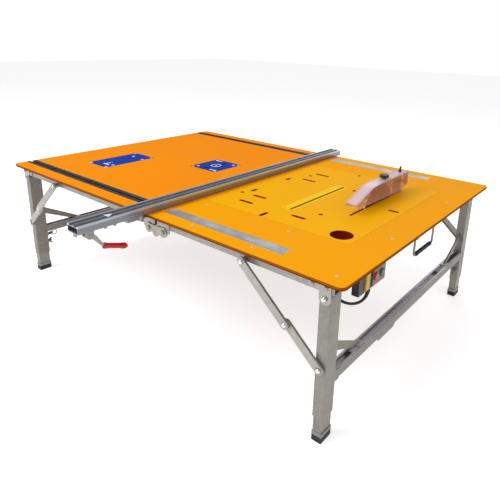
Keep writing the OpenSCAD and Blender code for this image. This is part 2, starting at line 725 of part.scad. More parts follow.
// Clamp under the near end: base plate, bolts, jaw on the front edge and hook on the back edge
grip_pivot_y = 36 - fence_front;
grip_pivot_z = top_h - 14;
clamp_w = 20;
clamp_x = fence_x + (fence_w - clamp_w) / 2;
module clamp_body() color(steel) placed() {
    difference() {
        union() {
            block([clamp_x, 14 - fence_front, top_h - 4], [clamp_w, fence_front - 20, 4]);
            for (x = [clamp_x, clamp_x + clamp_w - 3]) {
                block([x, grip_pivot_y - 10, grip_pivot_z], [3, 20, top_h - 4 - grip_pivot_z]);
                translate([x, grip_pivot_y, grip_pivot_z]) along_x(10, 3);
            }
            block([clamp_x + 2, -7.5, top_h - 22], [clamp_w - 4, 6, 22]);
            block([clamp_x + 2, -7.5, under - 6], [clamp_w - 4, 17, 4]);
            block([clamp_x - 3, -52, top_h - 12], [clamp_w + 6, 34, 8]);
            block([clamp_x + 4, 3 - fence_front, top_h - 4], [12, 12, 4]);
            block([clamp_x + 4, 3 - fence_front, top_h - 10], [12, 3, 10]);
        }
        translate([clamp_x - 5, grip_pivot_y, grip_pivot_z]) along_x(3 + run_fit, clamp_w + 10);
    }
    for (y = [-105, -80]) translate([clamp_x + clamp_w / 2, y, top_h - 12]) cylinder(r = 4, h = 8);
    block([clamp_x + 2, board_w + 1.5, under - 6], [clamp_w - 4, 6, board_t + 6 + seat]);
    block([clamp_x + 2, board_w - 10, under - 6], [clamp_w - 4, 12, 4]);
}

// Lever bent down from its pivot, and the red grip on its end
lever_tilt = 18;
lever_drop = 24;
lever_run = 44;
grip_len = 66;
module tilted() translate([0, grip_pivot_y, grip_pivot_z]) rotate([-lever_tilt, 0, 0])
    translate([0, -grip_pivot_y, -grip_pivot_z]) children();

module clamp_lever() color(steel) placed() tilted() {
    difference() {
        translate([clamp_x + clamp_w / 2 - 2.5, grip_pivot_y, grip_pivot_z]) rotate([90, 0, 90]) linear_extrude(5)
            polygon([[-7, 7], [6, 7], [22, -2], [lever_run, -lever_drop + 4], [lever_run + 30, -lever_drop + 1],
                     [lever_run + 30, -lever_drop - 6], [lever_run, -lever_drop - 4], [14, -11], [-7, -7]]);
        translate([clamp_x, grip_pivot_y, grip_pivot_z]) along_x(2.9, clamp_w);
    }
    translate([clamp_x - 1, grip_pivot_y, grip_pivot_z]) along_x(3, clamp_w + 2);
}

module clamp_grip() color([0.85, 0.05, 0.08]) placed() tilted() difference() {
    translate([clamp_x + clamp_w / 2, grip_pivot_y + lever_run + 4, grip_pivot_z - lever_drop - 2.5]) union() {
        along_y(7, grip_len - 14);
        translate([0, grip_len - 14, 0]) along_y(8, 8);
        translate([0, grip_len - 6, 0]) rotate([-90, 0, 0]) cylinder(r1 = 8, r2 = 5, h = 6);
        along_y(8, 6);
    }
    block([clamp_x + clamp_w / 2 - 2.7, grip_pivot_y + lever_run, grip_pivot_z - lever_drop - 6.3],
          [5.4, 31, 10.6]);
}

// Outer leg tubes: rounded at the pivot, drilled for the pivot bolt, the stay rivet and the locks
lock_z = cross_z - 24;
wing_z = cross_z - 51;
module outer_tube() {
    difference() {
        union() {
            translate([leg_in, leg_face, leg_end]) cube([leg_x, leg_y, pivot_z - leg_end]);
            translate([pivot_x, leg_face, pivot_z]) along_y(leg_x / 2, leg_y);
        }
        translate([leg_in + leg_wall, leg_face + leg_wall, leg_end - 1])
            cube([leg_x - 2 * leg_wall, leg_y - 2 * leg_wall, pivot_z - leg_end - leg_x / 2]);
        translate([pivot_x, leg_face - 1, pivot_z]) along_y(bolt_r + run_fit, leg_y + 2);
        translate([pivot_x, leg_face + leg_y - 4, lock_z]) along_y(4 + run_fit, 6);
        translate([pivot_x, leg_face + leg_y - 4, wing_z]) along_y(3 + run_fit, 6);
    }
    translate([pivot_x, 0, pivot_z - stay_drop]) {
        translate([0, lower_y - 1.2, 0]) along_y(rivet_r + 3, 1.2);
        translate([0, lower_y, 0]) along_y(rivet_r, leg_face - lower_y);
        translate([0, lower_y + stay_d + seat, 0]) along_y(rivet_r + 3, leg_face - lower_y - stay_d - seat);
    }
    for (z = [lock_z, wing_z]) difference() {
        translate([pivot_x, leg_face + leg_y, z]) along_y(8, 5);
        translate([pivot_x, leg_face + leg_y - 1, z]) along_y((z == lock_z ? 4 : 3) + run_fit, 8);
    }
}

module right_legs() color(steel) placed() both_edges() end_of(true) outer_tube();
module left_legs() color(steel) placed() both_edges() outer_tube();

// Crossbar channel with turned-in lips, its two braces and the stiffener under its front part
module crossbar() {
    in = leg_face + leg_y;
    translate([leg_in, board_w - in, cross_z - cross_h / 2]) rotate([90, 0, 0]) linear_extrude(board_w - 2 * in) difference() {
        square([leg_x, cross_h]);
        translate([cross_wall, cross_wall]) square([leg_x - 2 * cross_wall, cross_h - 2 * cross_wall]);
        translate([cross_wall + 3.5, cross_wall]) square([leg_x - 2 * cross_wall - 7, cross_h]);
    }
    both_edges() translate([pivot_x - 2, 0, 0]) rotate([90, 0, 90]) linear_extrude(4) polygon([
        [in, cross_z + 80], [in, cross_z + 80 - brace_w * 1.3],
        [in + brace_reach - brace_w, cross_z + cross_h / 2], [in + brace_reach + 6, cross_z + cross_h / 2],
        [in + brace_reach - 2, cross_z + cross_h / 2 + 8]
    ]);
    both_edges() block([leg_in + 1, in + brace_reach - 14, cross_z + cross_h / 2], [leg_x - 2, 24, 2]);
    translate([leg_in, 0, 0]) rotate([90, 0, 90]) linear_extrude(leg_x) polygon([
        [in + 190, cross_z - cross_h / 2], [in + 200, cross_z - cross_h / 2 - 8],
        [in + 280, cross_z - cross_h / 2 - 8], [in + 290, cross_z - cross_h / 2]
    ]);
}

module right_crossbar() color(steel) placed() end_of(true) crossbar();
module left_crossbar() color(steel) placed() crossbar();

// One stay channel from a rivet at the origin, along +X, open towards +Y
module stay(len, far_boss) {
    rotate([90, 0, 0]) mirror([0, 0, 1]) {
        difference() {
            linear_extrude(stay_d) translate([-stay_w / 2, 0]) slot_2d(len + stay_w, stay_w);
            translate([0, 0, stay_wall]) linear_extrude(stay_d)
                translate([stay_wall - stay_w / 2, 0]) slot_2d(len + stay_w - 2 * stay_wall, stay_w - 2 * stay_wall);
            translate([0, 0, -1]) cylinder(r = rivet_r + run_fit, h = stay_d + 2);
        }
        translate([len, 0, far_boss[0]]) cylinder(r = rivet_r + 1, h = far_boss[1]);
    }
}

// Half of the knee rivet is carried by each part of the stay
module upper_stay() translate([pivot_x + stay_run, upper_y, stay_rise]) rotate([0, -stay_tilt, 0])
    mirror([1, 0, 0]) stay(upper_len, [-1, stay_d + 1.5]);
module lower_stay() translate([pivot_x, lower_y, pivot_z - stay_drop]) rotate([0, -stay_tilt, 0])
    stay(lower_len, [-0.7, stay_d + 0.7]);

module right_upper_stays() color(steel) placed() both_edges() end_of(true) upper_stay();
module right_lower_stays() color(steel) placed() both_edges() end_of(true) lower_stay();
module left_upper_stays() color(steel) placed() both_edges() upper_stay();
module left_lower_stays() color(steel) placed() both_edges() lower_stay();

// Inner leg tube, with the row of holes that sets the height
tube_gap = 0.3;
inner_x = leg_x - 2 * leg_wall - 2 * tube_gap;
inner_y = leg_y - 2 * leg_wall - 2 * tube_gap;
inner_top = 250;
foot_base = 4;
hole_pitch = 25;
module inner_tube(right, back) color(bright) placed() edge_of(back) end_of(right) difference() {
    union() {
        translate([pivot_x - inner_x / 2, leg_face + leg_wall + tube_gap, foot_base])
            box_tube(inner_x, inner_y, inner_top - foot_base, 1.5);
        translate([pivot_x - leg_x / 2 + 0.3, leg_face + 0.3, foot_h + seat])
            box_tube(leg_x - 0.6, leg_y - 0.6, 9, (leg_x - inner_x) / 2 + 0.4);
    }
    for (n = [0:4]) translate([pivot_x, leg_face + leg_y / 2, lock_z + n * hole_pitch]) along_y(4.3, leg_y);
}

module foot(right, back) color(dark) placed() edge_of(back) end_of(right) difference() {
    block([pivot_x - leg_x / 2 + 0.5, leg_face + 0.5, 0], [leg_x - 1, leg_y - 1, foot_h]);
    block([pivot_x - inner_x / 2 - 0.1, leg_face + leg_wall + tube_gap - 0.1, foot_base], [inner_x + 0.2, inner_y + 0.2, wide]);
}

module front_right_tube() inner_tube(true, false);
module back_right_tube() inner_tube(true, true);
module front_left_tube() inner_tube(false, false);
module back_left_tube() inner_tube(false, true);
module front_right_foot() foot(true, false);
module back_right_foot() foot(true, true);
module front_left_foot() foot(false, false);
module back_left_foot() foot(false, true);

// Lock pin with a pull ring, drawn back at rest and pushed into a hole of the inner tube to lock it,
// and the wing screw under it
pin_face = leg_face + leg_y;
pin_travel = 6;
module lock_pin(right, back) color(bright) placed() edge_of(back) end_of(right) {
    translate([pivot_x, pin_face - leg_wall, lock_z]) along_y(4, leg_wall + 5 + seat + 2 + pin_travel);
    translate([pivot_x, pin_face + 5 + seat + pin_travel, lock_z]) along_y(5.5, 10);
    translate([pivot_x, pin_face + 24 + pin_travel, lock_z]) rotate([0, 90, 0])
        rotate_extrude() translate([8.8, 0]) circle(r = 1.4, $fn = 16);
}

module wing_screw(right, back) color(bright) placed() edge_of(back) end_of(right) {
    translate([pivot_x, pin_face - leg_wall + 0.9, wing_z]) along_y(3, leg_wall + 15.1);
    translate([pivot_x, pin_face + 5 + seat, wing_z]) along_y(5, 8);
    for (s = [-1, 1]) translate([pivot_x - 1.5, 0, wing_z]) rotate([90, 0, 90]) linear_extrude(3) polygon([
        [pin_face + 6, s * 3], [pin_face + 13, s * 3], [pin_face + 20, s * 9], [pin_face + 14, s * 11]]);
}

module front_right_pin() lock_pin(true, false);
module back_right_pin() lock_pin(true, true);
module front_left_pin() lock_pin(false, false);
module back_left_pin() lock_pin(false, true);
module front_right_wing() wing_screw(true, false);
module back_right_wing() wing_screw(true, true);
module front_left_wing() wing_screw(false, false);
module back_left_wing() wing_screw(false, true);

right_board();
saw_plate();
throat_strip();
right_scales();
right_frame();
right_brackets();
right_screws();
switch_box();
start_button();
stop_button();
switch_cable();
handle_wire();
handle_grip();
saw_motor();
saw_mount();
saw_blade();
riving_knife();
blade_guard();
guard_knob();
left_board();
left_tracks();
left_frame();
left_brackets();
long_plate();
square_plate();
plate_screws();
hinge_links();
hinge_bolts();
fence_bar();
clamp_body();
clamp_lever();
clamp_grip();
right_legs();
right_crossbar();
left_legs();
left_crossbar();
right_upper_stays();
right_lower_stays();
left_upper_stays();
left_lower_stays();
front_right_tube();
back_right_tube();
front_left_tube();
back_left_tube();
front_right_foot();
back_right_foot();
front_left_foot();
back_left_foot();
front_right_pin();
back_right_pin();
front_left_pin();
back_left_pin();
front_right_wing();
back_right_wing();
front_left_wing();
back_left_wing();
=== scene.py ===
import bpy
import bmesh
from math import radians, pi, sin, cos
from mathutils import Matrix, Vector


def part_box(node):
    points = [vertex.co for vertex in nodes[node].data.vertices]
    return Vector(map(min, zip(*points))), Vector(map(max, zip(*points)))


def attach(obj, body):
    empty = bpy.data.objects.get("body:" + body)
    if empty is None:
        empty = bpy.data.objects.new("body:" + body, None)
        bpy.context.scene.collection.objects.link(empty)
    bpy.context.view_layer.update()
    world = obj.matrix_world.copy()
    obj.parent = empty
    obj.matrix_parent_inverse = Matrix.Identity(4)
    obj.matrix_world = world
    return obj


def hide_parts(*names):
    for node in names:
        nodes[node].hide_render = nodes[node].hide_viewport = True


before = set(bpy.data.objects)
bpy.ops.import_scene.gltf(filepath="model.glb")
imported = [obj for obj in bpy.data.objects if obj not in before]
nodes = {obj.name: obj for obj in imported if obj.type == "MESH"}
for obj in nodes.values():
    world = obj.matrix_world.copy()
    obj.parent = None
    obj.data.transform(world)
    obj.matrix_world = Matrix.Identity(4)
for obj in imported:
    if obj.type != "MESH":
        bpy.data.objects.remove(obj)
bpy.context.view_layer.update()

scene = bpy.context.scene
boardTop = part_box("right_board")[1].z
print("stage: packed model loaded,", len(nodes), "nodes")


def addObject(name, data):
    made = bpy.data.objects.new(name, data)
    scene.collection.objects.link(made)
    return made


# Camera as in the photograph
camera = {
    "place": (1.0274, -1.0608, 0.8175), "turn": (72.743, -1.617, 38.858),
    "lens": 34.522, "sensor": 36, "shift": (-0.0459, -0.122),
}


def makeCamera():
    data = bpy.data.cameras.new("viewCamera")
    data.sensor_width = camera["sensor"]
    data.lens = camera["lens"]
    data.shift_x, data.shift_y = camera["shift"]
    scene.camera = addObject("viewCamera", data)
    scene.camera.location = camera["place"]
    scene.camera.rotation_euler = [radians(a) for a in camera["turn"]]
    scene.view_settings.view_transform = "Standard"


makeCamera()
print("stage: camera")

# The model's origin, in the table's own millimetres from its front left corner
origin = (650.0, 370.0, 0.0)


def at(x, y, z):
    return Vector(((x - origin[0]) / 1000, (y - origin[1]) / 1000, z / 1000))


# Mesh helpers
def meshFrom(name, bm, material):
    mesh = bpy.data.meshes.new(name)
    bm.normal_update()
    bm.to_mesh(mesh)
    bm.free()
    mesh.materials.append(material)
    return mesh


def newPiece(name, bm, material, body, smooth=False):
    mesh = meshFrom(name, bm, material)
    if smooth:
        mesh.polygons.foreach_set("use_smooth", [True] * len(mesh.polygons))
    piece = addObject(name, mesh)
    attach(piece, body)
    return piece


def addBlock(bm, low, high, edge):
    made = bmesh.ops.create_cube(bm, size=1.0)["verts"]
    bmesh.ops.scale(bm, vec=high - low, verts=made)
    bmesh.ops.translate(bm, vec=(low + high) / 2, verts=made)
    edges = list({e for v in made for e in v.link_edges})
    bmesh.ops.bevel(bm, geom=edges, offset=edge, segments=2, profile=0.5, affect="EDGES", material=-1)


# Flattened ball: its height is measured from its middle, along the axis
def addDome(bm, centre, radius, height, axis="Y"):
    size = {"Y": (radius, height, radius), "Z": (radius, radius, height)}[axis]
    made = bmesh.ops.create_uvsphere(bm, u_segments=24, v_segments=12, radius=1.0)["verts"]
    bmesh.ops.scale(bm, vec=size, verts=made)
    bmesh.ops.translate(bm, vec=centre, verts=made)


# Revolved ring with a box section, round an upright axis
def addRing(bm, centre, inner, outer, low, high, sides=48):
    section = ((inner, low), (outer, low), (outer, high), (inner, high))
    corners = [bm.verts.new((centre.x + r, centre.y, z)) for r, z in section]
    edges = [bm.edges.new(pair) for pair in zip(corners, corners[1:] + corners[:1])]
    bmesh.ops.spin(bm, geom=corners + edges, cent=(centre.x, centre.y, 0), axis=(0, 0, 1),
                   angle=2 * pi, steps=sides, use_merge=True)
    bmesh.ops.recalc_face_normals(bm, faces=bm.faces[:])


# Round tube along points, with its own radius at each point
def addSweep(bm, points, radii, sides=20):
    side = None
    rings = []
    for k, (point, radius) in enumerate(zip(points, radii)):
        ahead = (points[min(k + 1, len(points) - 1)] - points[max(k - 1, 0)]).normalized()
        side = ahead.orthogonal() if side is None else side - side.dot(ahead) * ahead
        side.normalize()
        across = ahead.cross(side)
        rings.append([bm.verts.new(point + radius * (cos(a) * side + sin(a) * across))
                      for a in (2 * pi * n / sides for n in range(sides))])
    for first, second in zip(rings, rings[1:]):
        for n in range(sides):
            bm.faces.new((first[n], first[(n + 1) % sides], second[(n + 1) % sides], second[n]))
    bm.faces.new(list(reversed(rings[0])))
    bm.faces.new(rings[-1])
    bmesh.ops.recalc_face_normals(bm, faces=bm.faces[:])


# Shader helpers
def addNode(tree, kind, **settings):
    node = tree.nodes.new(kind)
    for key, value in settings.items():
        if key in node.inputs:
            node.inputs[key].default_value = value
        else:
            setattr(node, key, value)
    return node


def addMath(tree, operation, first, second=None, clamp=False):
    node = addNode(tree, "ShaderNodeMath", operation=operation, use_clamp=clamp)
    for place, value in enumerate((first, second)):
        if value is None:
            continue
        if isinstance(value, (int, float)):
            node.inputs[place].default_value = value
        else:
            tree.links.new(value, node.inputs[place])
    return node.outputs[0]


def addMix(tree, factor, first, second):
    node = addNode(tree, "ShaderNodeMix", data_type="RGBA")
    for socket, value in ((node.inputs[0], factor), (node.inputs[6], first), (node.inputs[7], second)):
        if isinstance(value, tuple):
            socket.default_value = value + (1.0,)
        else:
            tree.links.new(value, socket)
    return node.outputs[2]


# A colour laid over another by a mask, as strongly as the amount says
def addLayer(tree, below, colour, mask, amount):
    return addMix(tree, addMath(tree, "MULTIPLY", mask, amount), below, colour)


def addRange(tree, value, low, high, outLow=0.0, outHigh=1.0):
    node = addNode(tree, "ShaderNodeMapRange")
    tree.links.new(value, node.inputs["Value"])
    for name, number in (("From Min", low), ("From Max", high), ("To Min", outLow), ("To Max", outHigh)):
        node.inputs[name].default_value = number
    return node.outputs["Result"]


# The middle of a noise, where most of it lies, spread over a wanted range
def addSpread(tree, value, low=0.0, high=1.0):
    noiseLow, noiseHigh = 0.3, 0.7
    return addRange(tree, value, noiseLow, noiseHigh, low, high)


# A soft step from nought to one at an edge, or from one to nought where it falls
def addStep(tree, value, edge, soft, falling=False):
    side = -soft if falling else soft
    return addRange(tree, value, edge - side, edge + side)


def addNoise(tree, vector, scale, detail, stretch=None, rough=0.5):
    if stretch:
        mapping = addNode(tree, "ShaderNodeMapping", Scale=stretch)
        tree.links.new(vector, mapping.inputs["Vector"])
        vector = mapping.outputs[0]
    node = addNode(tree, "ShaderNodeTexNoise", Scale=scale, Detail=detail, Roughness=rough)
    tree.links.new(vector, node.inputs["Vector"])
    return node.outputs["Fac"]


# The X, Y and Z of a vector
def splitVector(tree, vector):
    parts = addNode(tree, "ShaderNodeSeparateXYZ")
    tree.links.new(vector, parts.inputs[0])
    return parts.outputs


def splitNormal(tree):
    return splitVector(tree, addNode(tree, "ShaderNodeNewGeometry").outputs["Normal"])


# How far a value lies from the middle of a stretch, and half the length of that stretch
def addOffset(tree, value, low, high):
    offset = addMath(tree, "SUBTRACT", value, (low + high) / 2)
    return addMath(tree, "ABSOLUTE", offset), (high - low) / 2


def addBump(tree, shader, height, strength, distance, normal=None):
    bump = addNode(tree, "ShaderNodeBump", Strength=strength, Distance=distance)
    tree.links.new(height, bump.inputs["Height"])
    if normal is not None:
        tree.links.new(normal, bump.inputs["Normal"])
    tree.links.new(bump.outputs["Normal"], shader.inputs["Normal"])


def tone(colour, amount, lift=0.0):
    return tuple(min(1.0, c * amount + lift) for c in colour)


def startMaterial(name, colour):
    material = bpy.data.materials.new(name)
    material.use_nodes = True
    material.diffuse_color = colour + (1.0,)
    tree = material.node_tree
    place = addNode(tree, "ShaderNodeTexCoord").outputs["Object"]
    return material, tree, tree.nodes["Principled BSDF"], place


def setSurface(tree, shader, base, rough, metal=0.0, shine=0.5):
    tree.links.new(base, shader.inputs["Base Color"])
    tree.links.new(rough, shader.inputs["Roughness"])
    if isinstance(metal, float):
        shader.inputs["Metallic"].default_value = metal
    else:
        tree.links.new(metal, shader.inputs["Metallic"])
    shader.inputs["Specular IOR Level"].default_value = shine


# Shader groups: each takes a vector and some numbers, whose values here hold where a material sets none
def startGroup(name, numbers, outputs):
    group = bpy.data.node_groups.new(name, "ShaderNodeTree")
    group.interface.new_socket("Vector", in_out="INPUT", socket_type="NodeSocketVector")
    for label, value in numbers.items():
        socket = group.interface.new_socket(label, in_out="INPUT", socket_type="NodeSocketFloat")
        socket.default_value = value
    for label, kind in outputs.items():
        group.interface.new_socket(label, in_out="OUTPUT", socket_type=kind)
    return group, group.nodes.new("NodeGroupInput").outputs, group.nodes.new("NodeGroupOutput").inputs


def addGroup(tree, group, vector, **numbers):
    node = addNode(tree, "ShaderNodeGroup", node_tree=group)
    tree.links.new(vector, node.inputs["Vector"])
    for key, value in numbers.items():
        node.inputs[key].default_value = value
    return node.outputs


# Noise whose scale is one of the group's own numbers
def addGroupNoise(group, vector, scale, detail, rough):
    node = addNode(group, "ShaderNodeTexNoise", Detail=detail, Roughness=rough)
    group.links.new(vector, node.inputs["Vector"])
    group.links.new(scale, node.inputs["Scale"])
    return node.outputs["Fac"]


# Fine surface grain with soft blotches, used by paint, plastic and rubber
def makeGrain():
    look = {"fineShare": 0.8, "blotchShare": 0.2}
    group, given, result = startGroup(
        "surfaceGrain", {"Fine": 900.0, "Blotch": 7.0},
        {"Fine": "NodeSocketFloat", "Blotch": "NodeSocketFloat", "Height": "NodeSocketFloat"})
    fine = addGroupNoise(group, given["Vector"], given["Fine"], detail=2.0, rough=0.6)
    blotch = addGroupNoise(group, given["Vector"], given["Blotch"], detail=4.0, rough=0.55)
    height = addMath(group, "ADD", addMath(group, "MULTIPLY", fine, look["fineShare"]),
                     addMath(group, "MULTIPLY", blotch, look["blotchShare"]))
    for label, value in (("Fine", fine), ("Blotch", blotch), ("Height", height)):
        group.links.new(value, result[label])
    return group


# Patchy line along sharp edges: its mask, and the normal of the rounded edge
def makeEdgeWear():
    look = {"flat": 0.995, "sharp": 0.86, "gap": 0.38, "patch": 0.62}
    group, given, result = startGroup(
        "edgeWear", {"Width": 0.0012, "Patchiness": 60.0},
        {"Mask": "NodeSocketFloat", "Normal": "NodeSocketVector"})
    bevel = addNode(group, "ShaderNodeBevel", samples=4)
    group.links.new(given["Width"], bevel.inputs["Radius"])
    shape = addNode(group, "ShaderNodeNewGeometry")
    dot = addNode(group, "ShaderNodeVectorMath", operation="DOT_PRODUCT")
    group.links.new(bevel.outputs["Normal"], dot.inputs[0])
    group.links.new(shape.outputs["Normal"], dot.inputs[1])
    edge = addRange(group, dot.outputs["Value"], look["flat"], look["sharp"])
    patch = addGroupNoise(group, given["Vector"], given["Patchiness"], detail=5.0, rough=0.65)
    patch = addRange(group, patch, look["gap"], look["patch"])
    group.links.new(addMath(group, "MULTIPLY", edge, patch, clamp=True), result["Mask"])
    group.links.new(bevel.outputs["Normal"], result["Normal"])
    return group


# Hairline scratches and handling marks, in two directions
def makeScratches():
    strokes = [{"turn": 0.5, "stretch": (1.0, 22.0, 6.0)}, {"turn": 1.9, "stretch": (1.0, 30.0, 6.0)}]
    group, given, result = startGroup("scratches", {"Scale": 30.0}, {"Mask": "NodeSocketFloat"})
    masks = []
    for stroke in strokes:
        turn = (0, 0, stroke["turn"])
        mapping = addNode(group, "ShaderNodeMapping", Rotation=turn, Scale=stroke["stretch"])
        group.links.new(given["Vector"], mapping.inputs["Vector"])
        noise = addGroupNoise(group, mapping.outputs[0], given["Scale"], detail=3.0, rough=0.7)
        masks.append(addStep(group, noise, edge=0.70, soft=0.04))
    group.links.new(addMath(group, "MAXIMUM", *masks), result["Mask"])
    return group


grainGroup, wearGroup, scratchGroup = makeGrain(), makeEdgeWear(), makeScratches()
print("stage: shader groups")


# A painted, moulded or coated finish with grain, soft blotches, scratches and worn edges
def makeCoated(name, colour, worn, rough, fineScale=900.0, variation=0.08, bump=0.12,
               wearWidth=0.0012, metal=0.0, scratch=0.25, shine=0.5):
    look = {"darken": 1.6, "marked": 1.25, "lift": 0.03, "worn": 0.6, "markRough": 0.08,
            "smoothest": rough - 0.06, "roughest": rough + 0.08}
    material, tree, shader, place = startMaterial(name, colour)
    grain = addGroup(tree, grainGroup, place, Fine=fineScale)
    wear = addGroup(tree, wearGroup, place, Width=wearWidth)
    marks = addGroup(tree, scratchGroup, place)
    darker, lighter = tone(colour, 1.0 - variation * look["darken"]), tone(colour, 1.0 + variation)
    base = addMix(tree, addSpread(tree, grain["Blotch"]), darker, lighter)
    marked = tone(colour, look["marked"], look["lift"])
    base = addLayer(tree, base, marked, marks["Mask"], amount=scratch)
    base = addLayer(tree, base, worn, wear["Mask"], amount=look["worn"])
    blotches = addSpread(tree, grain["Blotch"], look["smoothest"], look["roughest"])
    roughness = addMath(tree, "ADD", blotches, addMath(tree, "MULTIPLY", marks["Mask"], look["markRough"]))
    setSurface(tree, shader, base, roughness, metal, shine)
    addBump(tree, shader, grain["Height"], strength=bump, distance=0.0004, normal=wear["Normal"])
    return material


# Bare or zinc-coated metal: streaks along the stock, spangle and dull patches
def makeMetal(name, colour, dull, metal, rough, stretch, spangle=90.0, bump=0.1, patchAmount=0.2):
    look = {"streakShare": 0.55, "spangleShare": 0.45, "darker": 0.9, "lighter": 1.06, "worn": 1.35,
            "smoothest": rough - 0.08, "roughest": rough + 0.16}
    material, tree, shader, place = startMaterial(name, colour)
    streaks = addNoise(tree, place, scale=40.0, detail=4.0, stretch=stretch, rough=0.6)
    patches = addNoise(tree, place, scale=9.0, detail=5.0, rough=0.6)
    cells = addNode(tree, "ShaderNodeTexVoronoi", Scale=spangle)
    tree.links.new(place, cells.inputs["Vector"])
    grey = addNode(tree, "ShaderNodeSeparateColor")
    tree.links.new(cells.outputs["Color"], grey.inputs[0])
    wear = addGroup(tree, wearGroup, place)
    blend = addMath(tree, "ADD", addMath(tree, "MULTIPLY", streaks, look["streakShare"]),
                    addMath(tree, "MULTIPLY", grey.outputs[0], look["spangleShare"]))
    darker, lighter = tone(colour, look["darker"]), tone(colour, look["lighter"])
    base = addMix(tree, addRange(tree, blend, 0.25, 0.75), darker, lighter)
    base = addMix(tree, addRange(tree, patches, 0.5, 0.72, outHigh=patchAmount), base, dull)
    base = addLayer(tree, base, tone(colour, look["worn"]), wear["Mask"], amount=0.35)
    both = addMath(tree, "ADD", streaks, patches)
    roughness = addRange(tree, both, 0.7, 1.4, look["smoothest"], look["roughest"])
    setSurface(tree, shader, base, roughness, metal)
    addBump(tree, shader, streaks, strength=bump, distance=0.0004, normal=wear["Normal"])
    return material


# Orange film on plywood: film on the face, brown layers on the edges with a painted highlight along their
# top, painted shade in dark red on the floors of slots
def makeBoard(name, face, edge):
    look = {"ply": 0.0024, "highlightBandDepth": 0.0047, "floorDepth": 0.0016, "floor": (0.20, 0.020, 0.002),
            "bare": (0.70, 0.22, 0.01)}
    material, tree, shader, place = startMaterial(name, face)
    grain = addGroup(tree, grainGroup, place, Fine=1400.0, Blotch=3.0)
    marks = addGroup(tree, scratchGroup, place, Scale=14.0)
    wear = addGroup(tree, wearGroup, place, Width=0.0015)
    facing, where = splitNormal(tree), splitVector(tree, place)
    onTop = addStep(tree, facing["Z"], edge=0.5, soft=0.05)
    upper = addStep(tree, where["Z"], edge=boardTop - look["highlightBandDepth"], soft=0.0005)
    deep = addStep(tree, where["Z"], edge=boardTop - look["floorDepth"], soft=0.0002, falling=True)
    layer = addMath(tree, "SINE", addMath(tree, "MULTIPLY", where["Z"], 2 * pi / look["ply"]))
    fibre = addNoise(tree, place, scale=60.0, detail=4.0, stretch=(1.0, 1.0, 14.0))
    layered = addMath(tree, "MULTIPLY", addRange(tree, layer, -1, 1, outLow=0.2), fibre)
    sides = addMix(tree, layered, tone(edge, 0.5), tone(edge, 1.6))
    # Painted highlight: the sides are tinted paler orange within 4.7 mm of the top
    sides = addLayer(tree, sides, tone(face, 0.7), upper, amount=0.3)
    top = addMix(tree, addSpread(tree, grain["Blotch"]), tone(face, 0.97), face)
    scuffed = (1.0, min(1.0, face[1] * 1.2), face[2] + 0.003)
    top = addLayer(tree, top, scuffed, marks["Mask"], amount=0.22)
    base = addMix(tree, onTop, sides, top)
    # Painted shade: upward faces deeper than 1.6 mm below the top, the floors of slots, are painted dark
    # red
    base = addLayer(tree, base, look["floor"], onTop, amount=deep)
    base = addLayer(tree, base, look["bare"], wear["Mask"], amount=0.2)
    setSurface(tree, shader, base, addSpread(tree, grain["Blotch"], 0.42, 0.56), shine=0.012)
    addBump(tree, shader, grain["Height"], strength=0.1, distance=0.0003, normal=wear["Normal"])
    return material


# Saw plate and strip paint, with painted shade in dark red on every face but the top, so inside the slots
def makePlate(name, face, shine):
    look = {"slotDepth": 0.001, "slot": (0.20, 0.020, 0.002), "bare": (0.60, 0.16, 0.01)}
    material, tree, shader, place = startMaterial(name, face)
    grain = addGroup(tree, grainGroup, place, Fine=1200.0, Blotch=4.0)
    marks = addGroup(tree, scratchGroup, place, Scale=18.0)
    wear = addGroup(tree, wearGroup, place, Width=0.0008)
    facing, where = splitNormal(tree), splitVector(tree, place)
    onTop = addStep(tree, facing["Z"], edge=0.5, soft=0.05)
    high = addStep(tree, where["Z"], edge=boardTop - look["slotDepth"], soft=0.0001)
    base = addMix(tree, addSpread(tree, grain["Blotch"]), tone(face, 0.96), face)
    scuffed = (1.0, min(1.0, face[1] * 1.2), face[2] + 0.01)
    base = addLayer(tree, base, scuffed, marks["Mask"], amount=0.12)
    # Painted shade: all but the top faces are painted dark red, the shade inside the slots
    base = addMix(tree, addMath(tree, "MULTIPLY", onTop, high), look["slot"], base)
    base = addLayer(tree, base, look["bare"], wear["Mask"], amount=0.15)
    setSurface(tree, shader, base, addSpread(tree, grain["Blotch"], 0.42, 0.54), shine=shine)
    addBump(tree, shader, grain["Height"], strength=0.08, distance=0.0003, normal=wear["Normal"])
    return material


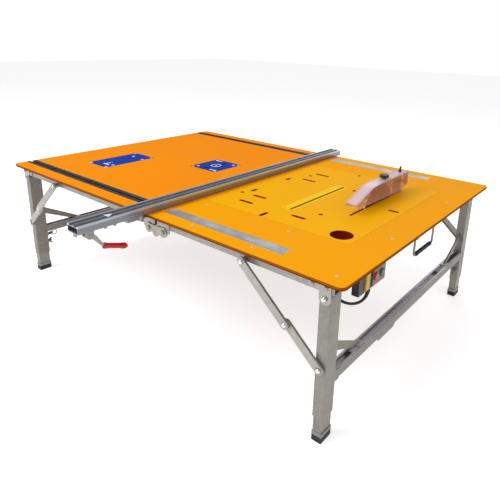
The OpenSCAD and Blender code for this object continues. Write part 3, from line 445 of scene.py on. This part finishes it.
# Fence extrusion: bright rims as painted highlight, with a blue-grey band between them and darker sides as
# painted shade
def makeFence():
    look = {"rim": (0.58, 0.61, 0.66), "band": (0.19, 0.225, 0.28), "side": (0.25, 0.265, 0.28),
            "streak": (0.70, 0.73, 0.77), "cloud": (0.30, 0.33, 0.38), "worn": (0.9, 0.91, 0.93),
            "rimWide": 0.0061, "topDepth": 0.005}
    material, tree, shader, place = startMaterial("fenceMetal", look["side"])
    low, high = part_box("fence_bar")
    where = splitVector(tree, place)
    across, half = addOffset(tree, where["X"], low.x, high.x)
    inBand = addStep(tree, across, edge=half - look["rimWide"], soft=0.0003, falling=True)
    onTop = addStep(tree, where["Z"], edge=high.z - look["topDepth"], soft=0.001)
    drawn = addNoise(tree, place, scale=60.0, detail=4.0, stretch=(14.0, 0.5, 14.0), rough=0.6)
    cloud = addNoise(tree, place, scale=5.0, detail=3.0)
    wear = addGroup(tree, wearGroup, place, Width=0.001)
    # Painted light: the rims on top are painted bright as highlight, the band between them and the sides
    # darker as shade
    base = addMix(tree, onTop, look["side"], addMix(tree, inBand, look["rim"], look["band"]))
    base = addMix(tree, addRange(tree, drawn, 0.35, 0.7, outHigh=0.2), base, look["streak"])
    base = addMix(tree, addRange(tree, cloud, 0.45, 0.7, outHigh=0.3), base, look["cloud"])
    base = addLayer(tree, base, look["worn"], wear["Mask"], amount=0.5)
    setSurface(tree, shader, base, addSpread(tree, drawn, 0.26, 0.42), metal=0.75)
    addBump(tree, shader, drawn, strength=0.12, distance=0.0003, normal=wear["Normal"])
    return material


# Crossbar channel: dull galvanised outside; its lips painted pale and its inside painted bright, as painted
# highlight
def makeCrossbar(name, node):
    look = {"dull": (0.30, 0.285, 0.25), "bright": (0.80, 0.79, 0.83), "lip": (0.86, 0.84, 0.86),
            "streak": (0.34, 0.30, 0.31), "worn": (0.82, 0.82, 0.84),
            "channelTop": 0.161, "inset": 0.0005, "skin": 0.0006, "lipRise": 0.0023}
    material, tree, shader, place = startMaterial(name, look["dull"])
    low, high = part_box(node)
    facing, where = splitNormal(tree), splitVector(tree, place)
    across, half = addOffset(tree, where["X"], low.x, high.x)
    top = look["channelTop"]
    # Painted highlight: the faces inside the channel are painted bright, standing in for shine and lifting
    # their shade
    below = addStep(tree, where["Z"], edge=top - look["inset"], soft=0.0001, falling=True)
    within = addStep(tree, across, edge=half - look["skin"], soft=0.0002, falling=True)
    bright = addMath(tree, "MULTIPLY", within, below)
    # Painted highlight: upward faces near the channel top are painted pale, as light falling on them
    nearTop = addStep(tree, where["Z"], edge=top + look["lipRise"], soft=0.0001, falling=True)
    lip = addMath(tree, "MULTIPLY", addStep(tree, facing["Z"], edge=0.5, soft=0.1), nearTop)
    lip = addMath(tree, "SUBTRACT", lip, bright, clamp=True)
    drawn = addNoise(tree, place, scale=50.0, detail=4.0, stretch=(12.0, 0.6, 12.0), rough=0.6)
    cloud = addNoise(tree, place, scale=9.0, detail=4.0)
    wear = addGroup(tree, wearGroup, place, Width=0.0008)
    dull = addMix(tree, addRange(tree, cloud, 0.35, 0.65), tone(look["dull"], 0.86), look["dull"])
    base = addMix(tree, bright, addMix(tree, lip, dull, look["lip"]), look["bright"])
    base = addMix(tree, addRange(tree, drawn, 0.4, 0.75, outHigh=0.14), base, look["streak"])
    base = addLayer(tree, base, look["worn"], wear["Mask"], amount=0.25)
    smoother = addRange(tree, bright, 0, 1, outLow=0.42, outHigh=0.15)
    rough = addMath(tree, "ADD", smoother, addSpread(tree, drawn, high=0.05))
    setSurface(tree, shader, base, rough, metal=addRange(tree, bright, 0, 1, outLow=0.4, outHigh=0.95))
    addBump(tree, shader, drawn, strength=0.01, distance=0.0001, normal=wear["Normal"])
    return material


# Scale strip: grey face with fine and coarse division lines and a paler border
def makeScale():
    look = {"face": (0.72, 0.74, 0.76), "dark": (0.36, 0.375, 0.38), "light": (0.56, 0.57, 0.58),
            "border": (0.72, 0.73, 0.74), "ink": (0.03, 0.03, 0.035), "borderWide": 0.0026,
            "lines": [{"pitch": 0.002, "width": 0.00055, "length": 0.006},
                      {"pitch": 0.01, "width": 0.0009, "length": 0.012}]}
    material, tree, shader, place = startMaterial("scaleFace", look["face"])
    low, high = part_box("right_scales")
    where = splitVector(tree, place)
    along = addMath(tree, "SUBTRACT", where["X"], low.x)
    across, reach = addOffset(tree, where["Y"], low.y, high.y)
    lines = []
    for line in look["lines"]:
        step = addMath(tree, "FRACT", addMath(tree, "DIVIDE", along, line["pitch"]))
        onLine = addStep(tree, step, edge=line["width"] / line["pitch"] - 0.01, soft=0.01, falling=True)
        outside = addStep(tree, across, edge=reach - line["length"], soft=0.0001)
        lines.append(addMath(tree, "MULTIPLY", onLine, outside))
    cloud = addNoise(tree, place, scale=24.0, detail=4.0)
    base = addMix(tree, addRange(tree, cloud, 0.35, 0.7), look["dark"], look["light"])
    border = addStep(tree, across, edge=reach - look["borderWide"], soft=0.0004)
    base = addLayer(tree, base, look["border"], border, amount=0.6)
    base = addLayer(tree, base, look["ink"], addMath(tree, "MAXIMUM", *lines), amount=0.85)
    setSurface(tree, shader, base, addSpread(tree, cloud, 0.32, 0.48), metal=0.4)
    addBump(tree, shader, cloud, strength=0.05, distance=0.0002)
    return material


# Switch housing: coloured fields side by side along its length, each from its share of that length
def makeSwitch():
    look = {"grey": (0.20, 0.21, 0.16), "dust": (0.30, 0.29, 0.26), "worn": (0.45, 0.44, 0.42)}
    fields = [(0.0, (0.012, 0.012, 0.013)), (0.21, (0.80, 0.50, 0.02)), (0.35, (0.03, 0.03, 0.03)),
              (0.48, (0.42, 0.10, 0.08)), (0.70, look["grey"]), (0.92, (0.015, 0.015, 0.016))]
    material, tree, shader, place = startMaterial("switchFields", look["grey"])
    low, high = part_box("switch_box")
    ramp = addNode(tree, "ShaderNodeValToRGB")
    ramp.color_ramp.interpolation = "CONSTANT"
    stops = ramp.color_ramp.elements
    while len(stops) < len(fields):
        stops.new(1.0)
    for stop, (start, colour) in zip(stops, fields):
        stop.position = start
        stop.color = colour + (1.0,)
    along = splitVector(tree, place)["Y"]
    tree.links.new(addRange(tree, along, low.y, high.y), ramp.inputs[0])
    grain = addGroup(tree, grainGroup, place, Fine=1100.0, Blotch=20.0)
    wear = addGroup(tree, wearGroup, place, Width=0.0008)
    dust = addRange(tree, grain["Blotch"], 0.4, 0.75, outHigh=0.25)
    base = addMix(tree, dust, ramp.outputs[0], look["dust"])
    base = addLayer(tree, base, look["worn"], wear["Mask"], amount=0.4)
    setSurface(tree, shader, base, addSpread(tree, grain["Blotch"], 0.36, 0.5))
    addBump(tree, shader, grain["Height"], strength=0.2, distance=0.0003, normal=wear["Normal"])
    return material


# Tinted clear plastic of the guard: a lavender hood with a line by each edge, salmon sides; painted sheen
# on the hood, painted shade at the rear, paler rims as painted highlight
def makeClearPlastic():
    look = {"hood": (0.80, 0.62, 0.70), "side": (0.66, 0.34, 0.27), "rim": (0.90, 0.66, 0.68),
            "paintedRearShade": (0.62, 0.16, 0.10), "shade": (0.42, 0.22, 0.17), "line": (0.44, 0.26, 0.36),
            "halfWide": 0.017, "lineInner": 0.0047, "lineOuter": 0.0017, "footRise": 0.014,
            "shadeReach": 0.055}
    material, tree, shader, place = startMaterial("clearPink", look["side"])
    low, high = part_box("blade_guard")
    haze = addNoise(tree, place, scale=26.0, detail=4.0)
    scuff = addGroup(tree, scratchGroup, place, Scale=60.0)
    wear = addGroup(tree, wearGroup, place, Width=0.0022, Patchiness=25.0)
    facing, where = splitNormal(tree), splitVector(tree, place)
    onTop = addStep(tree, facing["Z"], edge=0.5, soft=0.1)
    onRear = addStep(tree, facing["Y"], edge=0.5, soft=0.1)
    foot = addStep(tree, where["Z"], edge=low.z + look["footRise"], soft=0.008, falling=True)
    behind = addStep(tree, where["Y"], edge=high.y - look["shadeReach"], soft=0.045)
    across, _ = addOffset(tree, where["X"], low.x, high.x)
    line = addMath(tree, "MULTIPLY",
                   addStep(tree, across, edge=look["halfWide"] - look["lineInner"], soft=0.0005),
                   addStep(tree, across, edge=look["halfWide"] - look["lineOuter"], soft=0.0005,
                           falling=True))
    # Painted sheen: the upward faces of the hood are painted paler lavender than the sides
    hood = addMix(tree, addMath(tree, "MULTIPLY", line, 0.6), look["hood"], look["line"])
    base = addMix(tree, addSpread(tree, haze), tone(look["side"], 0.85), look["side"])
    base = addLayer(tree, base, look["shade"], behind, amount=0.45)
    # Painted highlight: the lowest 14 mm of the guard are painted paler
    base = addLayer(tree, base, look["rim"], foot, amount=0.35)
    base = addMix(tree, onTop, base, hood)
    # Painted shade: the faces turned to the rear are painted dark red
    base = addMix(tree, onRear, base, look["paintedRearShade"])
    # The sharp edges are painted pale and more opaque, partly as wear and partly as painted highlight
    base = addLayer(tree, base, look["rim"], wear["Mask"], amount=0.9)
    base = addLayer(tree, base, look["rim"], scuff["Mask"], amount=0.45)
    setSurface(tree, shader, base, addSpread(tree, haze, 0.1, 0.24), shine=0.3)
    solid = addMath(tree, "ADD", addSpread(tree, haze, 0.34, 0.46), addMath(tree, "MULTIPLY", onTop, 0.3))
    solid = addMath(tree, "ADD", solid, addMath(tree, "MULTIPLY", wear["Mask"], 0.3), clamp=True)
    tree.links.new(solid, shader.inputs["Alpha"])
    shader.inputs["IOR"].default_value = 1.45
    addBump(tree, shader, haze, strength=0.05, distance=0.0003)
    return material


# Blade with turned marks round its arbor and a bright rim
def makeBladeSteel():
    look = {"dark": (0.22, 0.12, 0.075), "light": (0.36, 0.21, 0.14), "cloud": (0.16, 0.08, 0.05),
            "rim": (0.62, 0.6, 0.57), "rimWide": 0.0035}
    material, tree, shader, place = startMaterial("bladeSteel", (0.36, 0.24, 0.17))
    low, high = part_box("saw_blade")
    centre = (low + high) / 2
    offset = addNode(tree, "ShaderNodeMapping", Location=tuple(-c for c in centre))
    tree.links.new(place, offset.inputs["Vector"])
    length = addNode(tree, "ShaderNodeVectorMath", operation="LENGTH")
    tree.links.new(offset.outputs[0], length.inputs[0])
    distance = length.outputs["Value"]
    rings = addNode(tree, "ShaderNodeTexNoise", Scale=420.0, Detail=4.0, Roughness=0.6,
                    noise_dimensions="1D")
    tree.links.new(distance, rings.inputs["W"])
    turned = rings.outputs["Fac"]
    cloud = addNoise(tree, place, scale=20.0, detail=4.0)
    base = addMix(tree, addSpread(tree, turned), look["dark"], look["light"])
    base = addMix(tree, addRange(tree, cloud, 0.45, 0.7, outHigh=0.5), base, look["cloud"])
    rim = addStep(tree, distance, edge=high.z - centre.z - look["rimWide"], soft=0.0015)
    base = addMix(tree, rim, base, look["rim"])
    setSurface(tree, shader, base, addSpread(tree, turned, 0.25, 0.42), metal=0.8)
    addBump(tree, shader, turned, strength=0.15, distance=0.0002)
    return material


materials = {
    "boardLeft": makeBoard("filmOrangeLeft", (1.0, 0.30, 0.0015), (0.30, 0.045, 0.005)),
    "boardRight": makeBoard("filmOrangeRight", (1.0, 0.40, 0.0015), (0.30, 0.045, 0.005)),
    "sawPlate": makePlate("platePaint", (1.0, 0.47, 0.0015), shine=0.012),
    "strip": makePlate("stripPaint", (1.0, 0.64, 0.003), shine=0.02),
    "frameSteel": makeMetal("frameGalvanised", (0.38, 0.365, 0.33), (0.30, 0.275, 0.24), metal=0.6,
                            rough=0.42, stretch=(0.6, 0.6, 8.0)),
    "legSteel": makeMetal("legGalvanised", (0.305, 0.285, 0.255), (0.25, 0.23, 0.20), metal=0.5,
                          rough=0.42, stretch=(10.0, 10.0, 0.7)),
    "rightCross": makeCrossbar("rightCrossMetal", "right_crossbar"),
    "leftCross": makeCrossbar("leftCrossMetal", "left_crossbar"),
    "wire": makeMetal("handleWire", (0.20, 0.19, 0.18), (0.12, 0.11, 0.10), metal=0.7, rough=0.3,
                      stretch=(1.0, 4.0, 4.0), bump=0.04),
    "staySteel": makeMetal("stayZinc", (0.43, 0.415, 0.38), (0.34, 0.325, 0.29), metal=0.6, rough=0.38,
                           stretch=(0.8, 8.0, 8.0)),
    # Painted shade: a darker copy of the leg steel for the left legs
    "leftLegShadedSteel": makeMetal("leftLegShadedGalvanised", (0.27, 0.25, 0.22), (0.21, 0.195, 0.17), metal=0.5,
                              rough=0.42, stretch=(10.0, 10.0, 0.7)),
    "tubeSteel": makeMetal("tubeZinc", (0.27, 0.255, 0.23), (0.20, 0.19, 0.17), metal=0.6, rough=0.32,
                           stretch=(9.0, 9.0, 0.6)),
    "zinc": makeMetal("brightZinc", (0.42, 0.405, 0.365), (0.33, 0.31, 0.27), metal=0.7, rough=0.32,
                      stretch=(1.0, 1.0, 1.0), spangle=200.0),
    "chrome": makeMetal("chromedWire", (0.78, 0.78, 0.79), (0.55, 0.54, 0.53), metal=1.0, rough=0.16,
                        stretch=(1.0, 4.0, 4.0), patchAmount=0.3, bump=0.04),
    "knife": makeMetal("knifeSteel", (0.30, 0.29, 0.28), (0.18, 0.16, 0.15), metal=0.9, rough=0.3,
                       stretch=(6.0, 1.0, 6.0)),
    "fence": makeFence(),
    "track": makeCoated("trackBlack", (0.018, 0.018, 0.02), (0.30, 0.30, 0.31), rough=0.38,
                        metal=0.3, variation=0.25, wearWidth=0.0006),
    "scale": makeScale(),
    "blue": makeCoated("blueEnamel", (0.0, 0.042, 0.38), (0.004, 0.01, 0.07), rough=0.35,
                       variation=0.12, bump=0.06, shine=0.02, scratch=0.05, wearWidth=0.002),
    "white": makeCoated("whitePaint", (0.80, 0.83, 0.86), (0.5, 0.55, 0.62), rough=0.35, variation=0.05),
    "rubber": makeCoated("footRubber", (0.022, 0.021, 0.022), (0.09, 0.085, 0.08), rough=0.7,
                         fineScale=600.0, variation=0.3, bump=0.35),
    "blackPlastic": makeCoated("blackPlastic", (0.02, 0.02, 0.022), (0.10, 0.10, 0.10), rough=0.42,
                               fineScale=1100.0, variation=0.2, bump=0.2),
    "greenPlastic": makeCoated("switchGreen", (0.05, 0.16, 0.07), (0.2, 0.4, 0.25), rough=0.35,
                               fineScale=1100.0, variation=0.06, bump=0.1),
    "redPlastic": makeCoated("gripRed", (0.74, 0.008, 0.014), (0.8, 0.25, 0.25), rough=0.2,
                             fineScale=500.0, variation=0.08, bump=0.03),
    "stopRed": makeCoated("buttonRed", (0.52, 0.07, 0.06), (0.8, 0.35, 0.3), rough=0.3,
                          fineScale=1100.0, variation=0.06, bump=0.08),
    "clear": makeClearPlastic(),
    "blade": makeBladeSteel(),
    "motor": makeCoated("motorCoat", (0.03, 0.033, 0.037), (0.14, 0.15, 0.16), rough=0.5,
                        fineScale=700.0, variation=0.2, bump=0.3),
    "switch": makeSwitch(),
    # Painted shade: the dark red of the collar under the round hole
    "holeShade": makeCoated("paintedHoleShade", (0.27, 0.010, 0.002), (0.30, 0.03, 0.008), rough=0.6,
                       variation=0.3, bump=0.2, shine=0.03),
    "cable": makeCoated("cableSheath", (0.015, 0.015, 0.016), (0.05, 0.05, 0.05), rough=0.5,
                        fineScale=800.0, variation=0.2, bump=0.15),
}
print("stage:", len(materials), "materials")

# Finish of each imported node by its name, or by the last word of its name
finishes = {
    "right_board": "boardRight", "left_board": "boardLeft", "saw_plate": "sawPlate",
    "throat_strip": "strip", "right_scales": "scale", "right_frame": "frameSteel",
    "left_frame": "frameSteel", "right_brackets": "zinc", "left_brackets": "zinc",
    "right_screws": "white", "plate_screws": "white",
    "switch_box": "switch", "start_button": "greenPlastic", "stop_button": "stopRed",
    "handle_wire": "wire", "handle_grip": "blackPlastic", "saw_motor": "motor",
    "saw_mount": "frameSteel", "saw_blade": "blade", "riving_knife": "knife",
    "blade_guard": "clear", "guard_knob": "blackPlastic", "left_tracks": "track",
    "long_plate": "blue", "square_plate": "blue", "hinge_links": "zinc", "hinge_bolts": "zinc",
    "fence_bar": "fence", "clamp_body": "frameSteel", "clamp_lever": "zinc",
    "clamp_grip": "redPlastic", "right_crossbar": "rightCross", "left_crossbar": "leftCross",
    "right_legs": "legSteel", "left_legs": "leftLegShadedSteel", "switch_cable": "cable",
}
endings = {"stays": "staySteel", "tube": "tubeSteel", "foot": "rubber", "pin": "wire", "wing": "wire"}
for name, packed in nodes.items():
    finish = finishes.get(name) or endings[name.split("_")[-1]]
    packed.data.materials.clear()
    packed.data.materials.append(materials[finish])
print("stage: finishes on", len(nodes), "nodes")

# Cable from the switch down in a loop, under the frame and to the motor: the same points as in the source
cableRoute = {
    "points": [
        (0.6313, -0.2300, 0.3257), (0.6313, -0.2307, 0.3200), (0.6310, -0.2370, 0.3120),
        (0.6300, -0.2490, 0.3075), (0.6275, -0.2640, 0.3070), (0.6210, -0.2790, 0.3090),
        (0.6110, -0.2880, 0.3120), (0.5990, -0.2900, 0.3155), (0.5880, -0.2800, 0.3190),
        (0.5770, -0.2500, 0.3235), (0.5690, -0.1900, 0.3260), (0.5630, -0.1300, 0.3270),
        (0.5590, -0.0600, 0.3270), (0.5550, 0.0000, 0.3270), (0.5480, 0.0500, 0.3270),
        (0.5420, 0.0760, 0.3280), (0.5400, 0.0940, 0.3290),
    ],
    "diameter": 0.006, "stepsBetween": 6, "rounding": 5,
    "reliefLength": 0.024, "reliefWide": 0.0049, "ridge": 0.00035, "slack": 0.0002, "motorInset": 0.003,
}


# Point on a smooth line through all the points, where place 1.5 lies between points 1 and 2
def blendPoint(points, place):
    last = len(points) - 1
    k = min(int(place), last - 1)
    t = place - k
    a, b, c, d = (Vector(points[min(max(n, 0), last)]) for n in (k - 1, k, k + 1, k + 2))
    bend = 2 * a - 5 * b + 4 * c - d
    twist = 3 * b - a - 3 * c + d
    return 0.5 * (2 * b + (c - a) * t + bend * t * t + twist * t ** 3)


# The first stretch of a line, at least as long as given
def startOf(line, length):
    kept = [line[0]]
    gone = 0.0
    for point in line[1:]:
        gone += (point - kept[-1]).length
        kept.append(point)
        if gone >= length:
            break
    return kept


# Ridged strain relief that thins along its stretch of the cable
def makeRelief(name, part):
    route = cableRoute
    thin = route["diameter"] / 2 + route["slack"]
    radii = []
    for k in range(len(part)):
        share = k / (len(part) - 1)
        ridge = route["ridge"] if k % 2 else 0.0
        radii.append(route["reliefWide"] * (1 - share) + thin * share + ridge * (1 - share))
    bm = bmesh.new()
    addSweep(bm, part, radii)
    return newPiece(name, bm, materials["blackPlastic"], "right_half", smooth=True)


def makeCable():
    route = cableRoute
    spans = (len(route["points"]) - 1) * route["stepsBetween"]
    line = [blendPoint(route["points"], n / route["stepsBetween"]) for n in range(spans + 1)]
    curve = bpy.data.curves.new("cableCurve", "CURVE")
    curve.dimensions = "3D"
    spline = curve.splines.new("POLY")
    spline.points.add(len(line) - 1)
    for place, point in zip(spline.points, line):
        place.co = (*point, 1.0)
    curve.bevel_depth = route["diameter"] / 2
    curve.bevel_resolution = route["rounding"]
    curve.use_fill_caps = True
    curve.materials.append(materials["cable"])
    cable = addObject("switchLead", curve)
    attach(cable, "right_half")
    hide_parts("switch_cable")
    atSwitch = startOf(line, route["reliefLength"])
    atMotor = startOf(line[::-1], route["reliefLength"])
    inward = (atMotor[0] - atMotor[1]).normalized()
    atMotor = [atMotor[0] + inward * route["motorInset"]] + atMotor
    reliefs = [makeRelief("switchRelief", atSwitch), makeRelief("motorRelief", atMotor)]


makeCable()

# Rivet domes of the stays and the leg pivots at the front left corner, repeated at the other three
rivets = {
    "spots": {"rail": (253.5, 0.5, 362.0), "knee": (131.9, 1.7, 257.5), "leg": (47.5, 8.0, 185.0),
              "pivot": (47.5, 12.5, 345.0)},
    "owners": {"rail": "{0}_half", "knee": "{0}_upper_stay", "leg": "{0}_leg_pair", "pivot": "{0}_half"},
    "length": 1300.0, "width": 900.0, "radius": 0.0056, "height": 0.0032,
}


def makeRivets():
    for spot, (x, y, z) in rivets["spots"].items():
        for side in ("left", "right"):
            across = x if side == "left" else rivets["length"] - x
            bm = bmesh.new()
            for deep in (y, rivets["width"] - y):
                addDome(bm, at(across, deep, z), rivets["radius"], rivets["height"])
            owner = rivets["owners"][spot].format(side)
            newPiece(side + spot.capitalize() + "Domes", bm, materials["chrome"], owner,
                     smooth=True)


makeRivets()

# Painted marks, screws, insert and ring of the blue plates
marks = {
    "top": 390.0, "rise": 0.5, "sink": 0.1, "edge": 0.0003,
    "bars": {"squarePlateBars": [(452, 515, 30, 8), (524, 412, 30, 8)],
             "longPlateHandle": [(206, 208, 32, 8), (212, 216, 8, 18)]},
    "screws": {"longScrews": [(165, 188), (191, 346), (254, 338), (249, 221), (254, 190)],
               "squareScrews": [(462, 420), (544, 512)]},
    "screwRadius": 0.0058, "screwHeight": 0.0012,
    "centre": (503, 466), "insert": (0.0085, 0.0238), "insertDepth": 2.8, "ring": (0.0150, 0.0185),
}


def makeMarks():
    low, high = marks["top"] - marks["sink"], marks["top"] + marks["rise"]
    for name, bars in marks["bars"].items():
        bm = bmesh.new()
        for x, y, wide, deep in bars:
            addBlock(bm, at(x, y, low), at(x + wide, y + deep, high), marks["edge"])
        newPiece(name, bm, materials["white"], "left_half")
    for name, places in marks["screws"].items():
        bm = bmesh.new()
        for x, y in places:
            addDome(bm, at(x, y, low), marks["screwRadius"], marks["screwHeight"], "Z")
        newPiece(name, bm, materials["white"], "left_half", smooth=True)
    centre = at(*marks["centre"], 0)
    bm = bmesh.new()
    addRing(bm, centre, *marks["insert"], (marks["top"] - marks["insertDepth"]) / 1000, marks["top"] / 1000)
    newPiece("squarePlateInsert", bm, materials["blue"], "left_half")
    bm = bmesh.new()
    addRing(bm, centre, *marks["ring"], low / 1000, high / 1000)
    newPiece("squarePlateRing", bm, materials["white"], "left_half")


makeMarks()

# White pointer on the fence
pointer = {"corners": [(704, -106), (724, -104), (712, -86)], "low": 410.2, "thick": 0.0008}


def makePointer():
    bm = bmesh.new()
    face = bm.faces.new([bm.verts.new(at(x, y, pointer["low"])) for x, y in pointer["corners"]])
    pushed = bmesh.ops.extrude_face_region(bm, geom=[face])["geom"]
    raised = [v for v in pushed if isinstance(v, bmesh.types.BMVert)]
    bmesh.ops.translate(bm, vec=(0, 0, pointer["thick"]), verts=raised)
    bmesh.ops.recalc_face_normals(bm, faces=bm.faces[:])
    newPiece("fencePointer", bm, materials["white"], "fence")


makePointer()

# Dark red collar under the round hole of the right board, put there as painted shade inside the hole
collar = {"centre": (1164, 220), "inner": 0.0288, "outer": 0.0308, "low": 0.352, "high": 0.3855}


def makeCollar():
    bm = bmesh.new()
    addRing(bm, at(*collar["centre"], 0), collar["inner"], collar["outer"], collar["low"], collar["high"])
    newPiece("holeShadeCollar", bm, materials["holeShade"], "right_half")


makeCollar()
print("stage: rivets, marks, pointer and collar")

# Floor, backdrop and lights
studio = {
    "floorTone": 0.84, "floorLift": 0.58, "floorRough": 0.9, "floorHalf": 14.0, "floorDrop": 0.0005,
    "worldLight": 0.42, "aim": (0, 0, 0.3),
    "lamps": [
        {"name": "keyLamp", "place": (-1.2, -2.6, 3.0), "size": 2.6, "power": 94.0},
        {"name": "sideLamp", "place": (3.0, -0.9, 2.4), "size": 2.2, "power": 16.0},
        {"name": "backLamp", "place": (-0.6, 3.0, 2.6), "size": 2.4, "power": 30.0},
    ],
}


# Pale floor that is lifted to white where the camera sees it
def makeFloor():
    material, tree, shader, _ = startMaterial("floorPale", (0.9, 0.9, 0.9))
    shader.inputs["Base Color"].default_value = (studio["floorTone"],) * 3 + (1.0,)
    shader.inputs["Roughness"].default_value = studio["floorRough"]
    shader.inputs["Specular IOR Level"].default_value = 0.0
    shader.inputs["Emission Color"].default_value = (1, 1, 1, 1)
    path = addNode(tree, "ShaderNodeLightPath").outputs
    seen = addMath(tree, "MAXIMUM", path["Is Camera Ray"], path["Is Glossy Ray"])
    seen = addMath(tree, "MAXIMUM", seen, path["Is Transmission Ray"])
    tree.links.new(addMath(tree, "MULTIPLY", seen, studio["floorLift"]), shader.inputs["Emission Strength"])
    bm = bmesh.new()
    bmesh.ops.create_grid(bm, x_segments=1, y_segments=1, size=studio["floorHalf"])
    floor = addObject("floorPlane", meshFrom("floorPlane", bm, material))
    floor.location.z = -studio["floorDrop"]


# White where the camera sees it, and a dimmer light on the table
def makeWorld():
    world = bpy.data.worlds.new("studioWorld")
    scene.world = world
    world.use_nodes = True
    tree = world.node_tree
    background = tree.nodes["Background"]
    background.inputs["Color"].default_value = (1, 1, 1, 1)
    path = addNode(tree, "ShaderNodeLightPath").outputs
    seen = addMath(tree, "MAXIMUM", path["Is Camera Ray"], path["Is Transmission Ray"])
    strength = addRange(tree, seen, 0, 1, outLow=studio["worldLight"])
    tree.links.new(strength, background.inputs["Strength"])


def makeLamps():
    for lamp in studio["lamps"]:
        data = bpy.data.lights.new(lamp["name"], "AREA")
        data.shape = "SQUARE"
        data.size = lamp["size"]
        data.energy = lamp["power"]
        light = addObject(lamp["name"], data)
        light.location = lamp["place"]
        aim = Vector(studio["aim"]) - Vector(lamp["place"])
        light.rotation_euler = aim.to_track_quat("-Z", "Y").to_euler()


makeFloor()
makeWorld()
makeLamps()
print("stage: floor, world and lamps")
